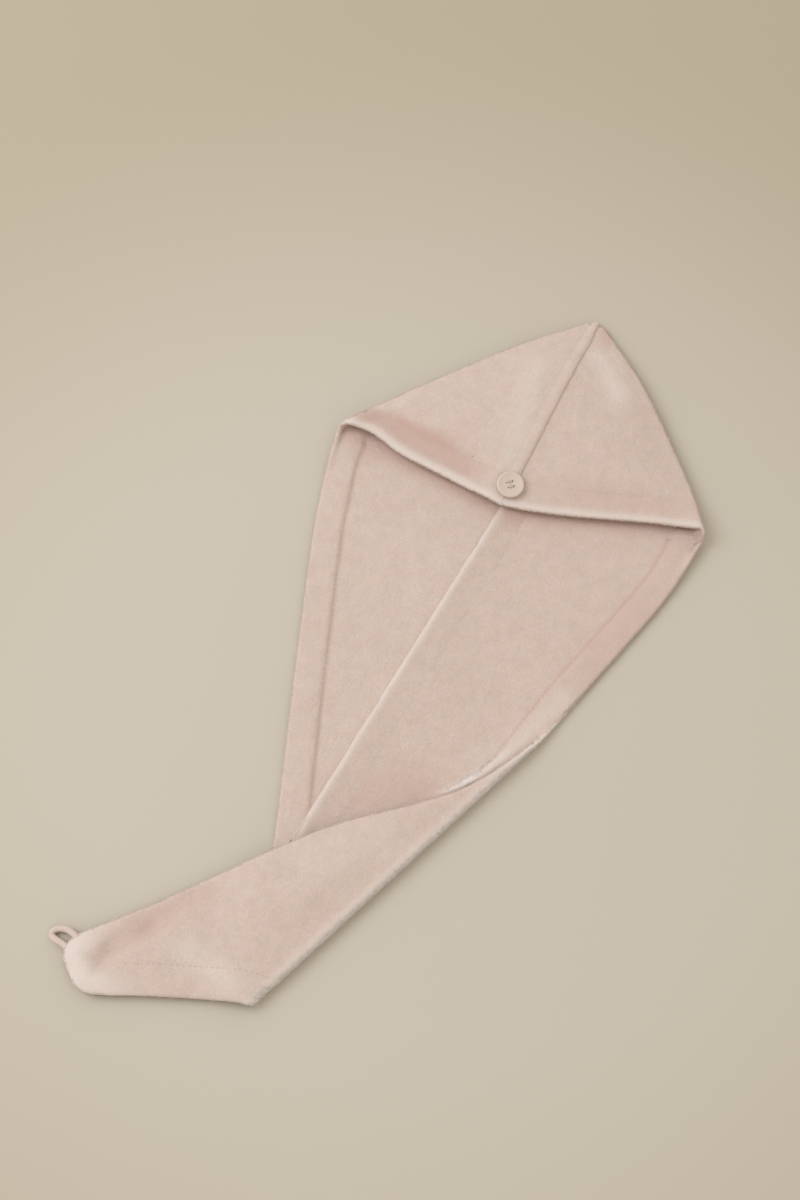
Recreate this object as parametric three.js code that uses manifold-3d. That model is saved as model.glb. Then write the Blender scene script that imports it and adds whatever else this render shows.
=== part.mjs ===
// Hair turban towel, laid out on a table with its pocket and its tail folded over.
// Millimetres, +Z up. Seam axis along Y, crown point at +Y, the cloth rests on Z = 0.
import * as THREE from "three";
import Module from "manifold-3d";
import { mergeVertices } from "three/addons/utils/BufferGeometryUtils.js";

const wasm = await Module();
wasm.setup();

// Cloth
const clothWall = 2.2; // short terry, pile included
const hemWidth = 22;
const hemPly = 1.6; // the ply turned back inside a hem
const edgeRound = 1.3; // the pile rounds every cut edge over this width
const edgeShare = 0.45; // a cut edge is this much of the wall thick
const foldRadius = 3.6; // to the middle of the wall, where cloth turns back over itself
const apexRadius = 1.5; // the same at the crown point, where the pocket closes
const pieceGap = 0.3; // between neighbouring pieces
const stripGap = 0.6; // under a seam strip, which follows the cloth's facets

// Pocket, as it lies folded in two
const frontSeam = 171; // mouth to crown point
const crownShift = -8; // crown point, across
const mouthLeft = 133;
const mouthRight = 145;
const mouthRightTurn = THREE.MathUtils.degToRad(17.5);
const pocketRise = 6.5; // the upper layer stands this much above its folded rims
const rimBowLeft = 5; // how far each folded rim bulges out of a straight line
const rimBowRight = 11;
const domeFrom = 0.35; // from the crown point, the share of the front seam where the pocket is fully raised
const domePower = 2.2; // how long the pocket stays high towards its rims
const mouthSink = 0.25; // the mouth lies lower than the rest by this share of the rise
const mouthRoll = 6; // radius of the folded rims at the corners of the mouth
const mouthRollFrom = 0.8; // share of the front seam from which the rims open to that radius
const mouthBowLeft = 5.2; // the left half of the mouth dips this far back near its corner
const mouthBowShare = 0.87; // where, as a share of its width
const mouthBowWidth = 0.15;
const mouthBowRight = 8.5; // the right half leans back this far towards its corner

// Lower layer and tail, with the tail opened out flat
const tailReach = 484; // mouth to tail end
const seamDrift = 13.3; // how far the back seam leans over that length
const rightLevel = 112; // below the mouth, cross sections turn square over this length

// Fold of the tail: where it starts on the right hem, and its lean from the seam axis
const foldAcross = 101.5;
const foldDown = 135.2;
const foldLean = THREE.MathUtils.degToRad(18.1);
const tailDrop = 40; // width over which the folded tail comes down to the table
const tailCrown = 1.6; // the middle of the folded tail stands this much proud
const proudWidth = 25; // it rises to that over this width, past the fold
const foldClear = 4; // soft folds of the lower layer end this far before the fold
const foldEase = 30; // and fade over this width
const underTail = [0.6, 0.775]; // shares of tailReach between which the left hem lies under the tail
const dropLead = 4; // the tail starts to come down this far inside the left hem

// Seams
const backSeamWidth = 8;
const backSeamHeight = 2.6;
const backSeamTop = 0.72; // share of the front seam that it reaches inside the pocket
const backSeamEnd = 0.62; // share of the tail's reach that it runs down
const frontSeamWidth = 8;
const frontSeamHeight = 1.3;
const stripTaper = 0.7; // the front strip's width at the crown point, as a share
const stripTaperLength = 20;
const crownWrap = 0.62; // the strip goes round the crown point with this share of its height

// Button and its thread
const buttonDiameter = 19.6;
const buttonThickness = 3;
const buttonRim = 1.6;
const buttonDish = 0.9;
const buttonUp = 15.5; // from the mouth along the front seam
const buttonStand = 1.2; // thread shank under the button
const holeDiameter = 2;
const holeSpacing = 4;
const threadDiameter = 1.2;
const seatShare = 0.4; // the button lies on the cloth this share of its diameter from its middle

// Loop at the tail's end
const loopCord = 3;
const loopLength = 15;
const loopSpread = 9.5; // between the two strands where they leave the cloth
const loopDown = 0.972; // share of tailReach where the first strand leaves
const loopClear = 0.5; // the strands start this far from the cloth's edge

// Route of the loop: far is a share of loopLength out from the cloth, over a share of the way
// from the first strand to the second, and up a share of the cloth's height at its edge.
const loopRoute = [
  { far: 0.3, over: 0.02, up: 0.8 },
  { far: 0.63, over: 0.22, up: 0.4 },
  { far: 0.91, over: 0.62, up: 0.1 },
  { far: 1.0, over: 0.98, up: 0 },
  { far: 0.88, over: 1.24, up: 0 },
  { far: 0.57, over: 1.22, up: 0.3 },
  { far: 0.2, over: 1.08, up: 0.8 },
];

// Edges of the cloth opened out flat. down is a share of tailReach,
// left a share of mouthLeft and right a share of mouthRight.
const edges = [
  { down: -0.09, left: -1.0, right: 0.952 },
  { down: 0.0, left: -1.0, right: 0.928 },
  { down: 0.12, left: -0.872, right: 0.847 },
  { down: 0.207, left: -0.748, right: 0.783 },
  { down: 0.289, left: -0.619, right: 0.737 },
  { down: 0.409, left: -0.429, right: 0.681 },
  { down: 0.481, left: -0.312, right: 0.699 },
  { down: 0.599, left: -0.125, right: 0.766 },
  { down: 0.692, left: 0.008, right: 0.779 },
  { down: 0.775, left: 0.13, right: 0.786 },
  { down: 0.81, left: 0.233, right: 0.786 },
  { down: 0.855, left: 0.332, right: 0.786 },
  { down: 0.928, left: 0.473, right: 0.793 },
  { down: 0.971, left: 0.55, right: 0.797 },
  { down: 0.992, left: 0.602, right: 0.772 },
  { down: 1.0, left: 0.662, right: 0.722 },
];

// Soft ridges and hollows. layer is pocket, lower or tail, and the line runs from
// (across, up) to (across2, up2), where up is a share of frontSeam above the mouth and of
// tailReach below it, and across a share of mouthRight. high is a share of pocketRise.
const softFolds = [
  { layer: "pocket", across: -0.19, up: 0.6, across2: -0.06, up2: 0.0, wide: 13, high: 0.28 },
  { layer: "pocket", across: 0.09, up: 0.86, across2: 0.2, up2: 0.6, wide: 12, high: -0.2 },
  { layer: "pocket", across: 0.3, up: 0.55, across2: 0.62, up2: 0.35, wide: 26, high: 0.22 },
  { layer: "lower", across: 0.66, up: -0.2, across2: 0.52, up2: -0.4, wide: 13, high: 0.16 },
  { layer: "lower", across: 0.12, up: -0.18, across2: 0.05, up2: -0.42, wide: 16, high: 0.16 },
  { layer: "tail", across: 0.2, up: -0.58, across2: -0.3, up2: -0.8, wide: 22, high: 0.24 },
];

const foldTurn = Math.PI * foldRadius; // cloth taken up going round a fold
const foldNormal = new THREE.Vector2(Math.cos(foldLean), -Math.sin(foldLean));
const foldStart = foldNormal.dot(new THREE.Vector2(foldAcross, -foldDown));
const rimInset = foldRadius + clothWall / 2; // from a fold's outermost line to its axis
const hemFade = 2.5; // over this width the turned ply thins out past the stitching
const leftReach = 0.63 * tailReach; // the left panel runs out under the folded tail
const tailHemStart = 0.66 * tailReach; // from here on the right panel has both hems

function smooth(low, high, value) {
  return THREE.MathUtils.smoothstep(value, low, high);
}

// Value of one column of a table at a station, on a smooth curve through its rows.
function column(table, key, station) {
  const last = table.length - 1;
  let i = 0;
  while (i < last - 1 && station > table[i + 1].down) i += 1;
  const slope = (k) => {
    const a = table[Math.max(k - 1, 0)];
    const b = table[Math.min(k + 1, last)];
    return (b[key] - a[key]) / (b.down - a.down);
  };
  const span = table[i + 1].down - table[i].down;
  const t = THREE.MathUtils.clamp((station - table[i].down) / span, 0, 1);
  const rise = table[i + 1][key] - table[i][key];
  const bend = slope(i) * span * t * (1 - t) * (1 - t) - slope(i + 1) * span * t * t * (1 - t);
  return table[i][key] + rise * t * t * (3 - 2 * t) + bend;
}

function leftEdge(v) {
  return column(edges, "left", -v / tailReach) * mouthLeft;
}

function rightEdge(v) {
  return column(edges, "right", -v / tailReach) * mouthRight;
}

function seamAcross(v) {
  return v > 0 ? (crownShift * v) / frontSeam : (seamDrift * v) / tailReach;
}

function liftAt(layer, u, v) {
  let lift = 0;
  for (const fold of softFolds) {
    if (fold.layer !== layer) continue;
    const ax = fold.across * mouthRight;
    const ay = fold.up * (fold.up > 0 ? frontSeam : tailReach);
    const bx = fold.across2 * mouthRight;
    const by = fold.up2 * (fold.up2 > 0 ? frontSeam : tailReach);
    const length = (bx - ax) ** 2 + (by - ay) ** 2;
    const along = ((u - ax) * (bx - ax) + (v - ay) * (by - ay)) / length;
    const t = THREE.MathUtils.clamp(along, 0, 1);
    const off = Math.hypot(u - ax - t * (bx - ax), v - ay - t * (by - ay)) / fold.wide;
    lift += fold.high * pocketRise * Math.exp(-off * off);
  }
  return lift;
}

// How far a laid point lies past the left hem of the lower layer, under the folded tail.
function pastLeftHem(u, v) {
  const [top, low] = underTail.map((share) => ({ u: leftEdge(-share * tailReach), v: -share * tailReach }));
  const length = Math.hypot(low.u - top.u, low.v - top.v);
  return ((u - top.u) * (low.v - top.v) - (v - top.v) * (low.u - top.u)) / length;
}

// How far a flat point lies past the start of the tail's fold.
function foldDistance(u, v) {
  return foldNormal.x * u + foldNormal.y * v - foldStart;
}

// Place of a flat point once the tail is folded over.
function laid(u, v) {
  const base = clothWall / 2;
  const past = foldDistance(u, v);
  if (past <= 0) {
    const lift = liftAt("lower", u, v) * smooth(foldClear, foldEase, -past);
    return new THREE.Vector3(u, v, base + lift);
  }
  const turn = Math.min(past / foldRadius, Math.PI);
  const back = foldRadius * Math.sin(turn) - Math.max(past - foldTurn, 0) - past;
  const x = u + foldNormal.x * back;
  const y = v + foldNormal.y * back;
  const rise = foldRadius * (1 - Math.cos(turn));
  const beyond = smooth(0, tailDrop, pastLeftHem(x, y) + dropLead);
  const away = smooth(0, proudWidth, past - foldTurn);
  const proud = (tailCrown + liftAt("tail", x, y)) * away;
  const rest = hemPly + pieceGap;
  return new THREE.Vector3(x, y, base + THREE.MathUtils.lerp(rise, rest, beyond) + proud);
}

// Section of the pocket at a share of the way from the crown point to the mouth.
// walk runs from the back seam out to the rim (0 to 1), round it (1 to 2) and back (2 to 3).
function pocketPoint(side, share, walk) {
  const right = side > 0;
  const turn = right ? mouthRightTurn : 0;
  const mouth = right ? mouthRight : mouthLeft;
  const bow = (right ? rimBowRight : rimBowLeft) * 4 * share * (1 - share);
  const flare = (mouthRoll - foldRadius) * smooth(mouthRollFrom, 1, share);
  const width = share * (mouth - rimInset) + bow - flare;
  const radius = THREE.MathUtils.lerp(apexRadius, foldRadius, smooth(0, 0.3, share)) + flare;
  const bend = THREE.MathUtils.clamp(walk - 1, 0, 1) * Math.PI;
  const inward = walk < 1 ? walk : Math.min(1, 3 - walk);
  const reach = pieceGap / 2 + inward * width + radius * Math.sin(bend);
  const off = (inward - mouthBowShare) / mouthBowWidth;
  const dip = right ? mouthBowRight * smooth(0.1, 0.9, inward) : mouthBowLeft * Math.exp(-off * off);
  const v = frontSeam * (1 - share);
  const u = seamAcross(v) + side * reach * Math.cos(turn);
  const y = v + reach * Math.sin(turn) + dip * smooth(0.5, 1, share) * smooth(1.3, 2, walk);
  let z = clothWall / 2 + radius * (1 - Math.cos(bend));
  if (walk > 2) {
    const open = smooth(0, domeFrom, share) * (1 - mouthSink * smooth(0.6, 1, share));
    z += pocketRise * open * (1 - inward ** domePower);
    z += liftAt("pocket", u, y) * smooth(0, 0.3, share) * smooth(0, 0.25, 1 - inward);
    z -= 2 * flare * (1 - inward ** 3);
  }
  return new THREE.Vector3(u, y, z);
}

// Row of the lower layer below the mouth, from the seam or the left hem to a hem edge.
function lowerRow(side, v) {
  const seam = seamAcross(v) + (side * pieceGap) / 2;
  if (side < 0) {
    return { u: seam, v, u2: Math.min(leftEdge(v), seam - 4), v2: v };
  }
  const left = leftEdge(v) + pieceGap;
  const rise = mouthRight * Math.sin(mouthRightTurn) * (1 - smooth(0, rightLevel, -v));
  return { u: Math.max(seam, left), v, u2: rightEdge(v + rise), v2: v + rise };
}

// Free edge near a corner of the mouth curls up, and flattens over this length.
const cornerCurl = 42;

function lowerPoint(row, share, v) {
  const u = THREE.MathUtils.lerp(row.u, row.u2, share);
  const y = THREE.MathUtils.lerp(row.v, row.v2, share);
  const point = laid(u, y);
  const curl = 1 - smooth(0, cornerCurl, -v);
  const inside = Math.min(1, Math.hypot(row.u2 - u, row.v2 - y) / (rimInset + mouthRoll - foldRadius));
  point.z += curl * mouthRoll * (1 - Math.sin((inside * Math.PI) / 2));
  return { point, u, y };
}

// Distance from a flat point to a hem edge of the lower layer.
function hemDistance(side, u, v) {
  const step = 4;
  const slope = (edge) => (edge(v + step) - edge(v - step)) / (2 * step);
  const leftGap = (u - leftEdge(v)) / Math.hypot(1, slope(leftEdge));
  const rightGap = (rightEdge(v) - u) / Math.hypot(1, slope(rightEdge));
  if (side < 0) return leftGap;
  return v < -tailHemStart ? Math.min(leftGap, rightGap, v + tailReach) : rightGap;
}

// Triangulated sheet: vertices with a place, and inner and outer half walls.
class Sheet {
  constructor() {
    this.vertices = [];
    this.triangles = [];
  }

  add(vertex) {
    this.vertices.push(vertex);
    return this.vertices.length - 1;
  }

  quad(a, b, c, d) {
    this.triangles.push([a, b, c], [a, c, d]);
  }

  // Splits every triangle that a line of constant fold distance crosses.
  slice(distance) {
    const cuts = new Map();
    const side = this.vertices.map((p) => (p.past === undefined ? -1e9 : p.past - distance));
    const cut = (a, b) => {
      const key = a < b ? `${a},${b}` : `${b},${a}`;
      if (!cuts.has(key)) {
        const t = side[a] / (side[a] - side[b]);
        cuts.set(key, this.add(flatVertex(this.vertices[a], this.vertices[b], t)));
      }
      return cuts.get(key);
    };
    const kept = [];
    for (const triangle of this.triangles) {
      const known = triangle.every((i) => side[i] > -1e8);
      const above = triangle.filter((i) => side[i] > 1e-6).length;
      const below = triangle.filter((i) => side[i] < -1e-6).length;
      if (!known || above === 0 || below === 0) {
        kept.push(triangle);
        continue;
      }
      const zero = triangle.findIndex((i) => Math.abs(side[i]) <= 1e-6);
      if (zero >= 0) {
        const [a, b, c] = [0, 1, 2].map((k) => triangle[(zero + k) % 3]);
        const m = cut(b, c);
        kept.push([a, b, m], [a, m, c]);
        continue;
      }
      const lone = above === 1 ? (i) => side[i] > 0 : (i) => side[i] < 0;
      const start = triangle.findIndex(lone);
      const [a, b, c] = [0, 1, 2].map((k) => triangle[(start + k) % 3]);
      const m = cut(a, b);
      const n = cut(a, c);
      kept.push([a, m, n], [m, b, c], [m, c, n]);
    }
    this.triangles = kept;
  }

  // Closed solid: inner and outer faces moved apart along the normals, walled at the edge.
  solid() {
    const normals = this.vertices.map(() => new THREE.Vector3());
    const used = new Map();
    for (const [a, b, c] of this.triangles) {
      const [pa, pb, pc] = [a, b, c].map((i) => this.vertices[i].place);
      const normal = pb.clone().sub(pa).cross(pc.clone().sub(pa));
      for (const i of [a, b, c]) normals[i].add(normal);
      for (const [i, j] of [[a, b], [b, c], [c, a]]) used.set(`${i},${j}`, [i, j]);
    }
    const border = [...used.values()].filter(([i, j]) => !used.has(`${j},${i}`));
    const onBorder = new Set(border.flat());
    const positions = [];
    const count = this.vertices.length;
    for (const way of [1, -1]) {
      this.vertices.forEach((vertex, i) => {
        const half = way > 0 ? vertex.inner : vertex.outer;
        const move = way * half * (onBorder.has(i) ? edgeShare : 1);
        const p = vertex.place.clone().addScaledVector(normals[i].normalize(), move);
        positions.push(p.x, p.y, p.z);
      });
    }
    const index = [];
    for (const [a, b, c] of this.triangles) {
      index.push(a, b, c, a + count, c + count, b + count);
    }
    for (const [i, j] of border) {
      index.push(j, i, i + count, j, i + count, j + count);
    }
    const geometry = new THREE.BufferGeometry();
    geometry.setAttribute("position", new THREE.Float32BufferAttribute(positions, 3));
    geometry.setIndex(index);
    return mergeVertices(geometry, 1e-3);
  }
}

function hemThickness(edge) {
  return hemPly * (1 - smooth(hemWidth - 1, hemWidth + hemFade, edge));
}

function lowerVertex(side, u, v, point) {
  const inner = clothWall / 2 + hemThickness(hemDistance(side, u, v));
  const past = foldDistance(u, v);
  return { side, u, v, past, place: point, inner, outer: clothWall / 2 };
}

function flatVertex(a, b, t) {
  const u = THREE.MathUtils.lerp(a.u, b.u, t);
  const v = THREE.MathUtils.lerp(a.v, b.v, t);
  const vertex = lowerVertex(a.side, u, v, laid(u, v));
  vertex.inner = THREE.MathUtils.lerp(a.inner, b.inner, t);
  return vertex;
}

function pocketVertex(side, share, walk) {
  const place = pocketPoint(side, share, walk);
  const edge = frontSeam * (1 - share);
  const lower = walk < 1.5;
  const hem = hemThickness(lower ? hemDistance(side, place.x, place.y) : edge);
  return { place, inner: clothWall / 2 + hem, outer: clothWall / 2 };
}

// Columns of the pocket's upper layer, as shares of its width, from the seam out.
const upperShares = [0, 0.02, 0.09, 0.22, 0.36, 0.5, 0.63, 0.75, 0.88];
const rimSteps = 6;

// Shares of a row's width: even in the middle, with places for the hems and rounded edges.
// The last four columns of a lower row carry on into the first half of the pocket's rim.
function rowShares(width, leftHem) {
  const narrow = Math.min(1, width / (3.2 * hemWidth));
  const start = [0, edgeRound, leftHem ? hemWidth - 1 : 9, leftHem ? hemWidth + hemFade : 18];
  const end = [hemWidth + hemFade, hemWidth - 1, hemWidth * 0.7, hemWidth * 0.4];
  end.push(rimInset, rimInset * 0.6, edgeRound, 0);
  const a = start.map((d) => (d * narrow) / width);
  const b = end.map((d) => 1 - (d * narrow) / width);
  const middle = [1, 2, 3].map((k) => THREE.MathUtils.lerp(a[3], b[0], k / 4));
  return [...a, ...middle, ...b];
}

// Rows of the pocket, as shares of the way from the crown point to the mouth.
const pocketShares = [0.02, 0.06, 0.12, 0.2, 0.3, 0.42, 0.55, 0.68, 0.78];
for (const down of [hemWidth + hemFade, hemWidth - 1, hemWidth / 2, edgeRound, 0]) {
  pocketShares.push(1 - down / frontSeam);
}

function panel(side) {
  const sheet = new Sheet();
  const grid = [];
  const rim = Array.from({ length: rimSteps + 1 }, (unused, k) => 1 + k / rimSteps);
  const upper = upperShares.map((share) => 3 - share).reverse();
  for (const share of pocketShares) {
    const width = Math.max(share * mouthLeft, 4 * rimInset);
    const lower = rowShares(width, false).slice(0, 11).map((part) => (part * width) / (width - rimInset));
    const walks = [...lower, ...rim, ...upper];
    grid.push(walks.map((walk) => pocketVertex(side, share, walk)));
  }
  const reach = side < 0 ? leftReach : tailReach;
  const rows = side < 0 ? 22 : 42;
  for (let k = 1; k <= rows; k += 1) {
    const v = (-reach * k) / rows;
    const row = lowerRow(side, v);
    const width = Math.hypot(row.u2 - row.u, row.v2 - row.v);
    const shares = rowShares(width, side > 0 && v < -tailHemStart);
    grid.push(shares.map((share) => {
      const { point, u, y } = lowerPoint(row, share, v);
      return lowerVertex(side, u, y, point);
    }));
  }
  const ids = grid.map((row) => row.map((vertex) => sheet.add(vertex)));
  for (let i = 0; i + 1 < ids.length; i += 1) {
    const across = Math.min(ids[i].length, ids[i + 1].length);
    for (let j = 0; j + 1 < across; j += 1) {
      const corners = [ids[i][j], ids[i][j + 1], ids[i + 1][j + 1], ids[i + 1][j]];
      if (side > 0) corners.reverse();
      sheet.quad(...corners);
    }
  }
  if (side > 0) {
    for (let k = 0; k <= rimSteps; k += 1) sheet.slice((foldTurn * k) / rimSteps);
  }
  return sheet.solid();
}

// Strip along a seam: rows of { centre, across, height, width }, thicker on one side.
function seamStrip(rows, profile) {
  const sheet = new Sheet();
  const ids = rows.map((row) => profile.map((station) => {
    const place = row.centre.clone().addScaledVector(row.across, station.at * row.width);
    place.z += row.lift ? row.lift(place) : 0;
    return sheet.add({ place, outer: seamBase, inner: station.high * row.height - seamBase });
  }));
  for (let i = 0; i + 1 < ids.length; i += 1) {
    for (let j = 0; j + 1 < profile.length; j += 1) {
      sheet.quad(ids[i][j], ids[i + 1][j], ids[i + 1][j + 1], ids[i][j + 1]);
    }
  }
  return sheet.solid();
}

// Lower half of a seam strip's wall.
const seamBase = 0.5;

// Inside, the seam's plies lie turned to the right of the seam line.
function backSeam() {
  const profile = [
    { at: 0.0, high: 0.75 },
    { at: 0.12, high: 0.95 },
    { at: 0.35, high: 1.0 },
    { at: 0.65, high: 0.8 },
    { at: 0.88, high: 0.5 },
    { at: 1.0, high: 0.42 },
  ];
  const rows = [];
  const top = backSeamTop * frontSeam;
  const low = -backSeamEnd * tailReach;
  const steps = 28;
  for (let k = 0; k <= steps; k += 1) {
    const v = THREE.MathUtils.lerp(top, low, k / steps);
    const centre = new THREE.Vector3(seamAcross(v) + pieceGap, v, 0);
    const lift = (p) => (p.y > 0 ? clothWall / 2 : laid(p.x, p.y).z) + clothWall / 2 + stripGap + seamBase;
    const across = new THREE.Vector3(1, 0, 0);
    rows.push({ centre, across, height: backSeamHeight, width: backSeamWidth, lift });
  }
  return seamStrip(rows, profile);
}

// Top of the pocket's upper layer over a point near the seam axis.
function pocketTop(x, v) {
  const side = x < seamAcross(v) ? -1 : 1;
  const share = THREE.MathUtils.clamp(1 - v / frontSeam, 0.02, 1);
  const width = share * (side > 0 ? mouthRight : mouthLeft);
  const walk = 3 - Math.min(1, Math.abs(x - seamAcross(v)) / width);
  return pocketPoint(side, share, walk).z + clothWall / 2;
}

// Outside, a flat strip felled over the seam from the crown point down to the hem.
function frontSeamStrip() {
  const profile = [
    { at: -0.5, high: 0.7 },
    { at: -0.36, high: 1.0 },
    { at: 0.0, high: 0.85 },
    { at: 0.36, high: 1.0 },
    { at: 0.5, high: 0.7 },
  ];
  const across = new THREE.Vector3(1, 0, 0);
  const low = buttonUp + buttonDiameter / 2 + 2 * pieceGap;
  const high = frontSeam * (1 - pocketShares[0]);
  const rows = [];
  const lift = (p) => pocketTop(p.x, p.y) + stripGap + seamBase;
  const places = [low];
  for (let k = pocketShares.length - 1; k > 0; k -= 1) {
    const here = frontSeam * (1 - pocketShares[k]);
    const next = frontSeam * (1 - pocketShares[k - 1]);
    for (const v of [here, (here + next) / 2]) if (v > low + 1) places.push(v);
  }
  places.push(high);
  for (const v of places) {
    const centre = new THREE.Vector3(seamAcross(v), v, 0);
    const narrow = THREE.MathUtils.lerp(stripTaper, 1, smooth(0, stripTaperLength, high - v));
    rows.push({ centre, across, height: frontSeamHeight, width: frontSeamWidth * narrow, lift });
  }
  const last = rows[rows.length - 1];
  const crown = lift(last.centre);
  for (const turn of [35, 65, 90]) {
    const bend = THREE.MathUtils.degToRad(turn);
    const out = crown * crownWrap;
    const centre = last.centre.clone();
    centre.y += out * Math.sin(bend);
    centre.z = crown - out * (1 - Math.cos(bend));
    rows.push({ ...last, centre, lift: null });
  }
  return seamStrip(rows.reverse(), profile);
}

function toManifold(geometry) {
  const bare = geometry.clone();
  bare.deleteAttribute("normal");
  bare.deleteAttribute("uv");
  const merged = mergeVertices(bare, 1e-4);
  const vertProperties = new Float32Array(merged.getAttribute("position").array);
  const triVerts = new Uint32Array(merged.getIndex().array);
  return new wasm.Manifold(new wasm.Mesh({ numProp: 3, vertProperties, triVerts }));
}

function fromManifold(solid) {
  const mesh = solid.getMesh();
  const geometry = new THREE.BufferGeometry();
  geometry.setAttribute("position", new THREE.BufferAttribute(mesh.vertProperties, 3));
  geometry.setIndex(new THREE.BufferAttribute(mesh.triVerts, 1));
  return geometry;
}

function pin(diameter, low, high, x, y) {
  const geometry = new THREE.CylinderGeometry(diameter / 2, diameter / 2, high - low, 8);
  geometry.rotateX(Math.PI / 2);
  geometry.translate(x, y, (low + high) / 2);
  return toManifold(geometry);
}

const holes = [[-1, -1], [1, -1], [1, 1], [-1, 1]].map((sign) => sign.map((s) => (s * holeSpacing) / 2));

// Button about its own axis, its underside on z = 0.
function buttonShape() {
  const radius = buttonDiameter / 2;
  const dishRadius = radius - buttonRim * 1.6;
  const dishFloor = buttonThickness - buttonDish;
  const profile = [
    [0, 0],
    [radius * 0.8, 0],
    [radius * 0.95, buttonThickness * 0.25],
    [radius, buttonThickness * 0.6],
    [radius - buttonRim * 0.4, buttonThickness * 0.93],
    [radius - buttonRim * 0.9, buttonThickness],
    [dishRadius, dishFloor],
    [0, dishFloor],
  ].map(([x, y]) => new THREE.Vector2(x, y));
  const body = new THREE.LatheGeometry(profile, 24);
  body.rotateX(Math.PI / 2);
  let solid = toManifold(body);
  for (const [x, y] of holes) {
    solid = solid.subtract(pin(holeDiameter, -1, buttonThickness + 1, x, y));
  }
  return fromManifold(solid);
}

// Thread: two stitches across the dish, down through the holes to the shank on the cloth.
function threadShape() {
  const over = buttonThickness - buttonDish + pieceGap;
  let solid = pin(holeSpacing * 1.41 + threadDiameter, pieceGap - buttonStand, -pieceGap, 0, 0);
  for (const [x, y] of holes) {
    solid = solid.add(pin(threadDiameter, -buttonStand / 2, over + threadDiameter / 2, x, y));
  }
  for (const y of [-holeSpacing / 2, holeSpacing / 2]) {
    const bar = new THREE.CapsuleGeometry(threadDiameter / 2, holeSpacing, 2, 8);
    bar.rotateZ(Math.PI / 2);
    bar.translate(0, y, over + threadDiameter / 2);
    solid = solid.add(toManifold(bar));
  }
  return fromManifold(solid);
}

// Elastic loop, sewn in at both ends at the outer corner of the tail's end.
function loopShape() {
  const edgePlace = (down) => {
    const v = -down * tailReach;
    return laid(rightEdge(v), v);
  };
  const a = edgePlace(loopDown);
  const b = edgePlace(loopDown + loopSpread / tailReach);
  const across = b.clone().sub(a).setZ(0).normalize();
  const out = new THREE.Vector3(across.y, -across.x, 0);
  const spread = a.distanceTo(b);
  const start = loopClear / loopLength;
  const route = [{ far: start, over: 0, up: 1 }, ...loopRoute, { far: start, over: 1, up: 1 }];
  const points = route.map(({ far, over, up }) => {
    const point = a.clone().addScaledVector(across, over * spread).addScaledVector(out, far * loopLength);
    point.z = THREE.MathUtils.lerp(loopCord / 2, a.z, up);
    return point;
  });
  const section = new THREE.Shape();
  section.absarc(0, 0, loopCord / 2, 0, Math.PI * 2, false);
  const path = new THREE.CatmullRomCurve3(points, false, "centripetal");
  return new THREE.ExtrudeGeometry(section, { extrudePath: path, steps: 22, curveSegments: 4 });
}

const towel = new THREE.Group();
const terry = { roughness: 0.95, metalness: 0 };

function addPiece(name, geometry, material, parent = towel) {
  const mesh = new THREE.Mesh(geometry, new THREE.MeshStandardMaterial(material));
  mesh.name = name;
  parent.add(mesh);
}

addPiece("left_panel", panel(-1), { color: 0xecd3cb, ...terry });
addPiece("right_panel", panel(1), { color: 0xead0c8, ...terry });
addPiece("back_seam", backSeam(), { color: 0xefd7d0, ...terry });
addPiece("front_seam", frontSeamStrip(), { color: 0xefd7d0, ...terry });

// The button stands square to the cloth that it is sewn to.
const buttonPlace = new THREE.Group();
const buttonReach = buttonDiameter * seatShare;
const buttonAcross = seamAcross(buttonUp);
const besideButton = [-1, 0, 1].map((k) => pocketTop(buttonAcross + k * buttonReach, buttonUp));
const alongButton = [-1, 1].map((k) => pocketTop(buttonAcross, buttonUp + k * buttonReach));
const seat = Math.max(besideButton[1], (besideButton[0] + besideButton[2]) / 2);
buttonPlace.position.set(buttonAcross, buttonUp, seat + buttonStand);
buttonPlace.rotation.x = Math.atan((alongButton[1] - alongButton[0]) / (2 * buttonReach));
buttonPlace.rotation.y = -Math.atan((besideButton[2] - besideButton[0]) / (2 * buttonReach));
towel.add(buttonPlace);
addPiece("button", buttonShape(), { color: 0xe9d6c9, roughness: 0.4, metalness: 0 }, buttonPlace);
addPiece("button_thread", threadShape(), { color: 0xe6cdc4, roughness: 0.8, metalness: 0 }, buttonPlace);
addPiece("button_loop", loopShape(), { color: 0xe3c6bd, roughness: 0.8, metalness: 0 });

// Origin at the middle of the base.
const box = new THREE.Box3().setFromObject(towel);
const middle = box.getCenter(new THREE.Vector3());
towel.position.set(-middle.x, -middle.y, -box.min.z);

const group = new THREE.Group();
group.add(towel);

export default group;
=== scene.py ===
import bpy
import bmesh
import math
import numpy as np
from mathutils import Matrix, Vector, noise
from mathutils.bvhtree import BVHTree


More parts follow.
